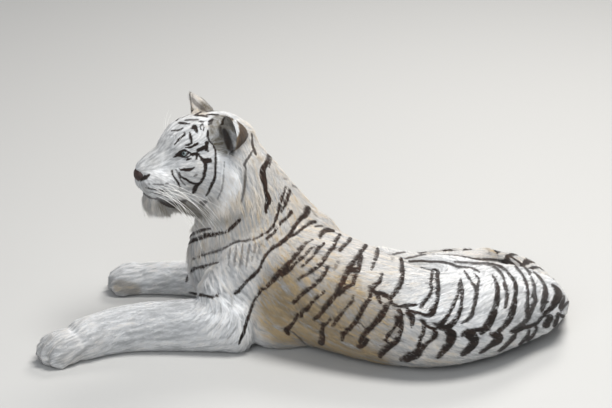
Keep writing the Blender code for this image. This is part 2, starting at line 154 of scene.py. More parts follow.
# the head's own frame, worked out from the eyes
leftEye, rightEye = middle("left_eye"), middle("right_eye")
eyeRadius = float(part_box("left_eye")[1].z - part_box("left_eye")[0].z) / 2
behindEyes, underEyes = 0.0845, 0.0175  # how far back and down the head's middle lies
headLeft = unit(leftEye - rightEye)
headUp = np.array((0.0, 0.0, 1.0))
headForward = unit(np.cross(headLeft, headUp))
headMiddle = (leftEye + rightEye) / 2 - headForward * behindEyes - headUp * underEyes


def onHead(forward, left, up):
    return headMiddle + headForward * forward + headLeft * left + headUp * up


def inHead(points):
    # forward, left and up of each point in the head's frame
    away = points - headMiddle
    return np.stack([away @ headForward, away @ headLeft, away @ headUp], axis=1)


skinSettings = {
    "voxel": 0.004,
    "headSmoothing": 5,  # steps
    "bodySmoothing": 30,
    "lastSmoothing": 2,
    "triangles": 176000,
    "closeCuts": 0.0006,  # how far the nodes swell, so that the cuts between them close
    "closeEars": 0.0012,
    "overFloor": 0.0004,
    "head": (0.19, 0.27),  # distances from the face's middle between which the head's own coat fades out
    "paw": (0.09, 0.14),  # the same for a foot
    "pressed": (0.12, 0.004, 0.045),  # share of the depth left at the floor, and the heights it grows between
}

# Where the coat changes: place, reach, then in millimetres the hair's length, the depth of the coat over
# the skin, a tuft's width and the space between tufts; last, how far the tufts lift from the skin.
headPlaces = {
    # in the head's frame; those named in onBothSides are there on the left and on the right
    "bridge": ((0.19, 0, 0.015), 0.045, 4.5, 1.5, 1.3, 2.0, 0.16),
    "pad": ((0.19, 0.05, -0.08), 0.045, 4.5, 1.5, 1.3, 2.0, 0.2),
    "forehead": ((0.07, 0, 0.11), 0.055, 8, 2.5, 1.6, 2.1, 0.18),
    "brow": ((0.105, 0.05, 0.05), 0.035, 5, 1.5, 1.3, 1.9, 0.18),
    "underEye": ((0.085, 0.09, -0.04), 0.045, 8, 2.5, 1.5, 2.0, 0.18),
    "crown": ((-0.03, 0, 0.135), 0.06, 11, 4, 1.9, 2.4, 0.2),
    "cheek": ((0.02, 0.125, -0.06), 0.045, 15, 5, 2.0, 2.3, 0.22),
    "ruff": ((-0.07, 0.135, -0.11), 0.065, 40, 11, 2.6, 2.7, 0.26),
    "chin": ((0.195, 0, -0.185), 0.04, 34, 6, 2.0, 2.3, 0.45),
    "throat": ((0.02, 0, -0.23), 0.06, 24, 8, 2.4, 2.8, 0.28),
    "earFrontLeft": ((0.01, 0.118, 0.085), 0.026, 20, 4, 1.7, 1.9, 0.34),
    "earFrontRight": ((0.03, -0.095, 0.1), 0.024, 18, 4, 1.7, 1.9, 0.34),
}
onBothSides = ("pad", "brow", "underEye", "cheek", "ruff")
bodyPlaces = {
    "nape": ((-0.13, -0.06, 0.64), 0.08, 15, 5, 2.2, 2.7, 0.2),
    "neckLeft": ((-0.21, -0.2, 0.5), 0.1, 22, 7, 2.6, 3.1, 0.24),
    "neckRight": ((-0.21, 0.08, 0.5), 0.1, 20, 7, 2.5, 3.0, 0.22),
    "chest": ((-0.37, -0.08, 0.3), 0.11, 30, 9, 2.9, 3.3, 0.2),
    "shoulderLeft": ((-0.13, -0.27, 0.32), 0.11, 16, 6, 2.5, 3.1, 0.18),
    "shoulderRight": ((-0.1, 0.13, 0.32), 0.11, 16, 6, 2.5, 3.1, 0.18),
    "breastLeft": ((-0.27, -0.28, 0.18), 0.07, 28, 8, 2.8, 3.2, 0.18),
    "withers": ((0.0, -0.11, 0.45), 0.1, 14, 5, 2.4, 3.1, 0.18),
    "back": ((0.15, -0.3, 0.35), 0.13, 14, 5, 2.4, 3.1, 0.17),
    "ribs": ((0.08, -0.43, 0.15), 0.12, 16, 6, 2.5, 3.1, 0.19),
    "loin": ((0.38, -0.52, 0.2), 0.14, 15, 6, 2.5, 3.1, 0.18),
    "rump": ((0.65, -0.38, 0.18), 0.15, 15, 6, 2.5, 3.1, 0.18),
    "rumpEnd": ((0.86, -0.16, 0.12), 0.1, 14, 5, 2.4, 3.1, 0.18),
    "thigh": ((0.55, -0.15, 0.29), 0.14, 14, 5, 2.5, 3.1, 0.17),
    "belly": ((0.18, -0.06, 0.15), 0.13, 24, 8, 3.0, 3.8, 0.2),
    "bellyEdge": ((-0.04, -0.3, 0.03), 0.08, 22, 6, 2.8, 3.2, 0.24),
    "farRibs": ((0.05, 0.06, 0.3), 0.12, 16, 6, 2.7, 3.5, 0.19),
    "leftForeleg": ((-0.5, -0.255, 0.09), 0.12, 12, 4, 2.1, 2.8, 0.18),
    "leftForepaw": ((-0.85, -0.38, 0.05), 0.09, 8, 2.5, 1.7, 2.3, 0.2),
    "rightForeleg": ((-0.4, 0.25, 0.07), 0.11, 12, 4, 2.1, 2.9, 0.18),
    "rightForepaw": ((-0.64, 0.285, 0.05), 0.08, 8, 2.5, 1.7, 2.4, 0.2),
    "rightHindLeg": ((0.35, 0.18, 0.15), 0.11, 14, 5, 2.4, 3.3, 0.18),
    "rightHock": ((0.62, 0.37, 0.07), 0.09, 11, 4, 2.1, 3.0, 0.18),
    "rightHindPaw": ((0.44, 0.418, 0.04), 0.08, 8, 2.5, 1.9, 2.7, 0.2),
    "leftHindLeg": ((0.32, 0.16, 0.08), 0.09, 13, 5, 2.4, 3.4, 0.18),
    "leftHindPaw": ((0.16, 0.31, 0.04), 0.08, 8, 2.5, 1.9, 2.7, 0.2),
    "tailRoot": ((0.86, 0.06, 0.05), 0.09, 15, 5, 2.3, 3.0, 0.2),
    "tailMiddle": ((0.78, 0.33, 0.04), 0.11, 16, 5, 2.3, 3.0, 0.22),
    "tailEnd": ((0.5, 0.545, 0.03), 0.15, 17, 5, 2.3, 3.0, 0.24),
}


earPlace = (0.036, 6, 1.2, 1.4, 2.0, 0.25)


def coatPlaces():
    # every place as arrays: centre, reach and its five sizes
    places = {}
    for name, ((forward, left, up), *sizes) in headPlaces.items():
        places[name] = (onHead(forward, left, up), *sizes)
        if name in onBothSides:
            places[name + "Right"] = (onHead(forward, -left, up), *sizes)
    places.update(bodyPlaces)
    for side, node in (("Left", "left_ear"), ("Right", "right_ear")):
        places["ear" + side] = (middle(node), *earPlace)
    rows = list(places.values())
    centres, reaches = np.array([row[0] for row in rows]), np.array([row[1] for row in rows])
    return list(places), centres, reaches, np.array([row[2:] for row in rows])


placeNames, placeCentres, placeReaches, placeSizes = coatPlaces()


def placeWeight(points, centre, reach):
    # exp(-(distance / reach)^2), with a thin tail that settles the places far from every centre
    ratio = ((points - centre) ** 2).sum(axis=1) / reach**2
    return np.exp(-ratio) + 1e-4 / (1 + ratio) ** 3


def coatAt(points):
    # the five sizes of the coat at each point: the mean of the places' sizes by placeWeight
    total = np.full(len(points), 1e-12)
    sizes = np.zeros((len(points), placeSizes.shape[1]))
    for centre, reach, row in zip(placeCentres, placeReaches, placeSizes):
        weight = placeWeight(points, centre, reach)
        total += weight
        sizes += weight[:, None] * row
    return sizes / total[:, None]


def fusedFlesh():
    # copies of every node, swollen a little so that the cuts close, remeshed into one surface
    allPoints, allTris, start = [], [], 0
    for name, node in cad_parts.items():
        points, tris = meshArrays(node)
        keys, merged = np.unique(np.round(points, 6), axis=0, return_inverse=True)
        tris = merged.ravel()[tris]
        tris = tris[(tris[:, 0] != tris[:, 1]) & (tris[:, 1] != tris[:, 2]) & (tris[:, 0] != tris[:, 2])]
        swell = skinSettings["closeEars"] if name.endswith("_ear") else skinSettings["closeCuts"]
        allPoints.append(keys + vertexNormals(keys, tris) * swell)
        allTris.append(tris + start)
        start += len(keys)
    piece = newPiece("skin", np.vstack(allPoints), np.vstack(allTris))
    remesh = piece.modifiers.new("fuse", "REMESH")
    remesh.mode = "VOXEL"
    remesh.voxel_size = skinSettings["voxel"]
    return applyModifiers(piece)


def applyModifiers(piece):
    mesh = bpy.data.meshes.new_from_object(piece.evaluated_get(bpy.context.evaluated_depsgraph_get()))
    old = piece.data
    piece.modifiers.clear()
    piece.data = mesh
    bpy.data.meshes.remove(old)
    return piece


def thinnedOut(piece, points, keep, triangles):
    # fewer triangles away from the places to keep, whose weight is 1
    piece.data.vertices.foreach_set("co", points.astype(np.float32).ravel())
    group = piece.vertex_groups.new(name="keep")
    for level in np.unique(np.round(keep, 1)):
        chosen = np.flatnonzero(np.round(keep, 1) == level)
        group.add(chosen.tolist(), float(level), "REPLACE")
    piece.data.calc_loop_triangles()
    thin = piece.modifiers.new("thin", "DECIMATE")
    thin.ratio = triangles / len(piece.data.loop_triangles)
    thin.vertex_group = "keep"
    thin.invert_vertex_group = True
    thin.vertex_group_factor = 1.0
    applyModifiers(piece)
    piece.vertex_groups.clear()
    return piece


def nearHead(points):
    # 1 on the head and ears, falling to 0 on the neck
    away = np.linalg.norm(points - onHead(0.05, 0, -0.02), axis=1)
    return 1 - smoothStep(away, *skinSettings["head"])


def skinDepth(points):
    # the coat's depth over the skin, less where the body is pressed on the floor
    least, low, high = skinSettings["pressed"]
    return coatAt(points)[:, 1] * mm * (least + (1 - least) * smoothStep(points[:, 2], low, high))


lidSettings = {
    "outward": 33,  # degrees each eye looks outward of the head's own forward
    "upward": 7,
    "halfWidth": 0.0160,
    "halfHeight": 0.0098,
    "slant": -0.22,  # the inner corner lies lower
    "thickness": 0.0020,
    "swell": 0.0012,  # how much fuller the lids are a little away from their edge
    "behind": 0.0035,  # how far inside the eye's surface the skin keeps within the opening
    "reach": 0.034,  # how far from the eye's middle the lids go
    "finer": (0.034, 0.027),  # within each of these distances the skin's edges are cut in two
    "bare": (0.030, -0.25),  # no hair grows within this distance where lidOpening is over this value
}


def gaze(side):
    # the way an eye looks, and its inner side and top: side is 1 on the left and -1 on the right
    swing, lift = math.radians(lidSettings["outward"]), math.radians(lidSettings["upward"])
    flat = headForward * math.cos(swing) + headLeft * side * math.sin(swing)
    forward = flat * math.cos(lift) + headUp * math.sin(lift)
    inner = unit(np.cross(headUp, flat)) * side
    inner = inner if inner @ (headLeft * -side) > 0 else -inner
    top = unit(np.cross(forward, inner))
    top = top if top[2] > 0 else -top
    return forward, inner, top


def lidOpening(across, rise):
    # 1 - (across / halfWidth)^2 - |rise| / halfHeight: 1 in the middle, 0 on the lids' edge, less outside
    s = lidSettings
    rise = rise - s["slant"] * across
    return 1 - (across / s["halfWidth"]) ** 2 - np.abs(rise) / s["halfHeight"]


def foldLids(points):
    # round each eye the skin keeps to a ball a lid's thickness over it, and in the opening it is behind it
    s = lidSettings
    for side, centre in ((1, leftEye), (-1, rightEye)):
        forward, inner, top = gaze(side)
        away = points - centre
        far = np.linalg.norm(away, axis=1)
        ahead, across, rise = away @ forward, away @ inner, away @ top
        near = (far < s["reach"]) & (ahead > 0.2 * far)
        opening = lidOpening(across, rise)
        lid = eyeRadius + s["thickness"]
        swell = s["swell"] * np.exp(-(((opening + 0.55) / 0.5) ** 2))
        target = np.where(opening > 0, eyeRadius - s["behind"], np.maximum(far, lid + swell))
        fade = smoothStep(ahead / np.maximum(far, 1e-6), 0.2, 0.5)
        moved = far + (target - far) * np.where(opening > 0, 1.0, fade)
        points[near] = (centre + away / np.maximum(far, 1e-9)[:, None] * moved[:, None])[near]
    return points


grooveSettings = {
    # how deep each is pressed into the face, then its line in the head's frame in millimetres: forward, left,
    # up and half width
    "philtrum": (0.0035, [(236, 0, -86, 2.5), (232, 0, -100, 3), (224, 0, -118, 4)]),
    "lip": (0.0060, [(226, 0, -118, 3), (219, 22, -124, 3.5), (200, 42, -128, 4), (170, 58, -128, 4.5),
                     (135, 72, -126, 5), (100, 84, -130, 6)]),
}


def alongLine(points, line):
    # distance from each point to a line of rows (x, y, z, half width), and the half width there
    best = np.full(len(points), 1e9)
    half = np.zeros(len(points))
    for a, b in zip(line, line[1:]):
        along = b[:3] - a[:3]
        t = np.clip(((points - a[:3]) @ along) / max(along @ along, 1e-12), 0, 1)
        away = np.linalg.norm(points - a[:3] - t[:, None] * along, axis=1)
        closer = away < best
        best[closer] = away[closer]
        half[closer] = (a[3] + (b[3] - a[3]) * t)[closer]
    return best, half


def pressGrooves(points, normals):
    # along each groove and its mirror image, a valley of depth * exp(-(away / (1.3 half width))^2)
    local = inHead(points)
    front = np.flatnonzero(local[:, 0] > 0.05)
    for depth, line in grooveSettings.values():
        twice = line[0][1] == line[-1][1]  # on the face's middle line it is its own mirror image
        for side in (1, -1):
            rows = np.array(line, float) * (mm, mm * side, mm, mm)
            away, half = alongLine(local[front], throughPoints(rows, 0.006))
            valley = np.exp(-((away / np.maximum(half * 1.3, 1e-6)) ** 2))
            points[front] -= normals[front] * (depth * valley)[:, None] * (0.5 if twice else 1)
    return points


noseTuck = 0.7  # under the nose leather the skin keeps to this share of its size, so that it stays covered


def tuckNose(points):
    # points inside the nose's ellipsoid are drawn in towards its middle
    centre = middle("nose")
    half = np.array(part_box("nose")[1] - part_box("nose")[0]) / 2
    share = np.linalg.norm((points - centre) / half, axis=1)
    inside = smoothStep(1.06 - share, 0, 0.12)
    return centre + (points - centre) * (1 - inside * (1 - noseTuck / np.maximum(share, noseTuck)))[:, None]


def buildSkin():
    # the nodes fused, smoothed, drawn in by the coat's depth and thinned, then the folds of the face
    settings = skinSettings
    skin = fusedFlesh()
    points, tris = meshArrays(skin)
    print("fused flesh:", len(tris), "triangles")
    edges = triEdges(tris)
    head = nearHead(points)
    gentle = relaxed(points, edges, settings["headSmoothing"], 0.5)
    strong = relaxed(gentle, edges, settings["bodySmoothing"], 0.5)
    detail = np.maximum(head, pawDetail(points))
    points = gentle * detail[:, None] + strong * (1 - detail[:, None])
    points[:, 2] = np.maximum(points[:, 2], settings["overFloor"] / 2)
    normals = vertexNormals(points, tris)
    points = points - normals * skinDepth(points)[:, None]
    points = relaxed(points, edges, settings["lastSmoothing"], 0.4)
    points[:, 2] = np.maximum(points[:, 2], settings["overFloor"])
    thinnedOut(skin, points, np.clip(detail + 0.02, 0, 1), settings["triangles"])
    refineEyes(skin)
    points, tris = meshArrays(skin)
    normals = vertexNormals(points, tris)
    points = pressGrooves(points, normals)
    points = foldLids(tuckNose(points))
    skin.data.vertices.foreach_set("co", points.astype(np.float32).ravel())
    skin.data.shade_smooth()
    skin.data.update()
    return skin


def pawDetail(points):
    # 1 on the four feet, falling to 0 up the legs
    near = np.zeros(len(points))
    for name in ("leftForepaw", "rightForepaw", "rightHindPaw", "leftHindPaw"):
        away = np.linalg.norm(points - placeCentres[placeNames.index(name)], axis=1)
        near = np.maximum(near, 1 - smoothStep(away, *skinSettings["paw"]))
    return near


def refineEyes(skin):
    # the skin round each eye is divided twice, for thin lids
    centres = [Vector(leftEye), Vector(rightEye)]
    for reach in lidSettings["finer"]:
        bm = bmesh.new()
        bm.from_mesh(skin.data)
        bmesh.ops.triangulate(bm, faces=[f for f in bm.faces if len(f.verts) > 3])
        chosen = [e for e in bm.edges if any((v.co - c).length < reach for v in e.verts for c in centres)]
        bmesh.ops.subdivide_edges(bm, edges=chosen, cuts=1, use_grid_fill=True)
        bmesh.ops.triangulate(bm, faces=[f for f in bm.faces if len(f.verts) > 3])
        bm.to_mesh(skin.data)
        bm.free()


# The lines the body follows: x, y, z, radius, and the degrees the body's top leans towards -Y.
bodyLines = {
    "head": [(*onHead(0.235, 0, -0.06), 0.03, 0), (*onHead(0.17, 0, -0.075), 0.065, 0),
        (*onHead(0.09, 0, -0.05), 0.095, 0), (*onHead(0.0, 0, -0.03), 0.125, 0),
        (*onHead(-0.08, 0, -0.02), 0.125, 0)],
    "neck": [(-0.295, -0.05, 0.66, 0.115, 0), (-0.235, -0.062, 0.56, 0.15, 0),
        (-0.19, -0.07, 0.44, 0.18, 0), (-0.12, -0.085, 0.33, 0.2, 0)],
    "trunk": [(-0.3, -0.03, 0.24, 0.15, 2), (-0.163, -0.072, 0.235, 0.205, 5),
        (-0.033, -0.152, 0.22, 0.208, 16), (0.087, -0.232, 0.205, 0.202, 38),
        (0.207, -0.312, 0.185, 0.19, 55), (0.327, -0.377, 0.172, 0.177, 63),
        (0.447, -0.397, 0.165, 0.169, 74), (0.568, -0.323, 0.158, 0.165, 84),
        (0.688, -0.221, 0.146, 0.145, 88), (0.792, -0.144, 0.122, 0.117, 88),
        (0.847, -0.097, 0.1, 0.07, 88)],
    "leftForeleg": [(-0.253, -0.257, 0.09, 0.087, 0), (-0.49, -0.254, 0.086, 0.082, 0),
        (-0.593, -0.262, 0.081, 0.077, 0), (-0.683, -0.294, 0.075, 0.074, 0),
        (-0.78, -0.345, 0.06, 0.072, 0), (-0.88, -0.395, 0.045, 0.055, 0)],
    "rightForeleg": [(-0.093, 0.113, 0.085, 0.086, 0), (-0.213, 0.178, 0.076, 0.077, 0),
        (-0.343, 0.238, 0.065, 0.067, 0), (-0.453, 0.27, 0.058, 0.061, 0), (-0.56, 0.28, 0.05, 0.061, 0),
        (-0.675, 0.285, 0.045, 0.055, 0)],
    "rightHindLeg": [(0.488, -0.091, 0.16, 0.118, 0), (0.368, 0.009, 0.146, 0.104, 0),
        (0.24, 0.099, 0.148, 0.092, 0), (0.348, 0.191, 0.112, 0.067, 0), (0.473, 0.275, 0.094, 0.057, 0),
        (0.583, 0.349, 0.082, 0.052, 0), (0.648, 0.389, 0.076, 0.052, 0), (0.56, 0.418, 0.052, 0.046, 0),
        (0.42, 0.418, 0.046, 0.05, 0)],
    "leftHindLeg": [(0.507, -0.042, 0.085, 0.091, 0), (0.377, 0.058, 0.08, 0.084, 0),
        (0.272, 0.133, 0.078, 0.075, 0), (0.312, 0.206, 0.066, 0.059, 0), (0.359, 0.266, 0.056, 0.052, 0),
        (0.315, 0.3, 0.049, 0.047, 0), (0.202, 0.308, 0.045, 0.047, 0), (0.11, 0.31, 0.044, 0.05, 0)],
    "tail": [(0.84, -0.06, 0.085, 0.062, 0), (0.86, 0.078, 0.052, 0.051, 0),
        (0.846, 0.189, 0.044, 0.048, 0), (0.816, 0.297, 0.041, 0.045, 0), (0.782, 0.401, 0.039, 0.043, 0),
        (0.714, 0.491, 0.037, 0.041, 0), (0.607, 0.532, 0.034, 0.038, 0), (0.507, 0.542, 0.031, 0.034, 0),
        (0.412, 0.532, 0.028, 0.03, 0), (0.337, 0.5, 0.024, 0.026, 0)],
}


def buildStations():
    # every line made dense, with its tangent, its top, its side and the length run so far
    kept = {key: [] for key in ("line", "place", "radius", "along", "top", "side", "run")}
    spacing = 0.020
    for number, rows in enumerate(bodyLines.values()):
        dense = throughPoints(rows, spacing)
        place, radius, lean = dense[:, :3], dense[:, 3], np.radians(dense[:, 4])
        along = unit(np.gradient(place, axis=0))
        side = unit(np.cross(along, (0, 0, 1)))
        top = np.cross(side, along)
        turnedTop = top * np.cos(lean)[:, None] + np.cross(along, top) * np.sin(lean)[:, None]
        turnedSide = side * np.cos(lean)[:, None] + np.cross(along, side) * np.sin(lean)[:, None]
        run = np.concatenate([[0], np.cumsum(np.linalg.norm(np.diff(place, axis=0), axis=1))])
        for key, value in (("line", np.full(len(place), number)), ("place", place), ("radius", radius),
                           ("along", along), ("top", turnedTop), ("side", turnedSide), ("run", run)):
            kept[key].append(value)
    return {key: np.concatenate(value) for key, value in kept.items()}


stations = buildStations()
lineNames = list(bodyLines)


def nearestStation(points):
    # the station whose distance, as a share of its radius, is least
    best = np.full(len(points), 1e9)
    nearest = np.zeros(len(points), int)
    for k in range(len(stations["line"])):
        share = ((points - stations["place"][k]) ** 2).sum(axis=1) / stations["radius"][k] ** 2
        closer = share < best
        best[closer] = share[closer]
        nearest[closer] = k
    return nearest


def roundLine(points, nearest):
    # angle round the line, from its top towards its side, and the run along it
    away = points - stations["place"][nearest]
    forward = (away * stations["along"][nearest]).sum(axis=1)
    across = (away * stations["side"][nearest]).sum(axis=1)
    rise = (away * stations["top"][nearest]).sum(axis=1)
    return np.arctan2(across, rise), stations["run"][nearest] + forward


# Each stroke is its darkness and its points (X, H, width) in millimetres: X is the tiger's own, and H is
# measured up a board that leans back 20 degrees through the body, as seen square on from 14 m.
boardLean = math.radians(20)
boardAhead = np.array((0, math.cos(boardLean), -math.sin(boardLean)))
boardUp = np.array((0, math.sin(boardLean), math.cos(boardLean)))
boardSpan = 14.0
boardShift = 0.0010
boardMiddle = (0.0004 + boardShift, -0.0714, 0)
boardRise = 0.431
boardView = np.array(boardMiddle) + boardUp * boardRise - boardAhead * boardSpan
strokeSettings = {
    "body": (1.03, 0.0017),  # each width is scaled, then this added
    "face": (1.16, 0.0009),
    "spacing": 4.0,  # millimetres between the points a stroke is drawn through
    "soft": 0.0009,  # half the width of an edge on the body; the face's edges are sharper by the next share
    "faceSoft": 0.8,
    "ragged": ((0.013, 3, 0.0009), (0.005, 4, 0.0005)),  # size, seed and reach of the wander of the edges
    "bodyReach": 0.055,  # how far from where it landed a stroke is seen
    "mirrorReach": 0.075,
    "faceReach": 0.045,
    "softReach": 0.060,
    "mirrorSoftReach": 0.050,
    "turned": (-0.12, 0.06),  # how squarely the skin faces away from the board where the far bands give way
}

faceStrokes = [
    # forehead
    (1, [(-388,713,4), (-360,711,6), (-338,707,4)]),
    (1, [(-345,714,3), (-320,715,5), (-302,714,3)]),
    (0.9, [(-416,695,4), (-395,697,5), (-372,697,3)]),
    (1, [(-436,686,6), (-420,684,7), (-402,683,3)]),
    (0.9, [(-464,659,4), (-441,661,6), (-423,668,3)]),
    (0.4, [(-475,643,3), (-450,643,3)]),
    (0.9, [(-364,692,5), (-354,690,5)]),
    (0.9, [(-362,664,4), (-364,672,5), (-357,682,5), (-352,670,5), (-354,660,3)]),
    (1, [(-336,690,5), (-323,697,8)]),
    (0.9, [(-334,680,6), (-329,686,9)]),
    (1, [(-392,668,8), (-383,672,14), (-377,658,9), (-374,651,3)]),
    (0.9, [(-419,654,4), (-418,648,7), (-416,643,4)]),
    (1, [(-400,654,3), (-399,641,10), (-396,628,8), (-394,617,4)]),
    (1, [(-416,609,4), (-403,611,6), (-395,615,5)]),
    (1, [(-416,601,3), (-398,602,6), (-382,611,8), (-372,615,7)]),
    (1, [(-453,610,3), (-440,627,6), (-424,641,6), (-416,646,3)]),
    # behind the eye
    (1, [(-372,592,10), (-358,598,12), (-345,603,12)]),
    (1, [(-345,598,12), (-342,618,10)]),
    (1, [(-345,592,6), (-337,590,5)]),
    (1, [(-395,577,8), (-379,580,9), (-369,577,6)]),
    (1, [(-379,577,5), (-376,566,7), (-378,562,5)]),
    (1, [(-369,573,5), (-361,565,8), (-353,558,12), (-331,558,12)]),
    (1, [(-338,659,4), (-338,643,8), (-334,627,5), (-321,611,5), (-313,593,5), (-311,574,6), (-311,548,6),
        (-313,521,7), (-314,500,8), (-322,479,9), (-331,460,8), (-338,444,6), (-345,433,3)]),
    (1, [(-331,556,12), (-347,553,14), (-346,535,10), (-349,516,9), (-354,497,9), (-363,481,8),
        (-374,473,10), (-382,460,14), (-387,448,9), (-395,441,4)]),
    # under the eye
    (1, [(-437,515,4), (-430,500,5), (-414,492,7), (-398,481,6), (-379,476,5)]),
    (1, [(-437,528,3), (-430,524,5), (-420,525,9), (-408,524,10), (-395,527,8), (-385,534,3)]),
    (0.7, [(-384,503,6), (-378,507,7)]),
    (1, [(-413,558,3), (-404,561,5), (-394,562,3)]),
    (1, [(-461,521,6), (-460,508,5), (-451,495,5), (-440,479,6), (-433,463,5)]),
    (0.8, [(-447,524,3), (-440,508,4), (-430,487,4), (-416,471,3)]),
    (0.6, [(-464,489,3), (-453,481,3)]),
    # whisker pad, lips and eyelids
    (0.75, [(-545,476,2), (-520,475,3), (-501,473,6), (-491,472,3)]),
    (0.9, [(-552,463,2), (-530,458,4), (-509,455,4), (-480,451,2)]),
    (0.7, [(-483,477,5), (-476,477,5)]),
    (0.7, [(-490,467,3), (-478,468,3)]),
    (0.7, [(-538,448,2), (-520,444,3), (-499,440,3), (-483,439,2)]),
    (0.8, [(-560,444,2), (-544,431,4), (-522,425,4), (-501,423,4), (-485,420,5)]),
    (0.9, [(-497,413,8), (-475,405,14), (-455,398,10)]),
    (0.6, [(-485,433,3), (-451,423,7), (-416,409,3)]),
    (0.7, [(-361,412,10), (-345,415,8), (-357,405,14)]),
    (1, [(-454,569,5), (-442,576,12), (-430,582,9)]),
    (1, [(-437,583,5), (-427,591,5), (-415,592,5), (-404,587,4), (-395,578,5)]),
    (0.9, [(-436,572,4), (-426,568,3), (-414,567,3), (-404,571,4), (-395,577,5)]),
    (1, [(-576,491,10), (-564,494,13), (-550,501,12), (-540,507,6)]),
    # cheek ruff
    (0.62, [(-281,552,2), (-284,500,4), (-289,460,5), (-300,433,4), (-306,420,2)]),
    (0.45, [(-327,432,5), (-340,418,7), (-352,406,8)]),
    # behind the ear
    (0.9, [(-187,648,5), (-185,630,6), (-184,608,7), (-177,590,8), (-173,578,6)]),
    (0.85, [(-182,592,5), (-194,574,6), (-205,556,7), (-213,540,7)]),
    (0.6, [(-207,534,5), (-209,500,6), (-212,465,6), (-217,436,5), (-224,410,3)]),
]
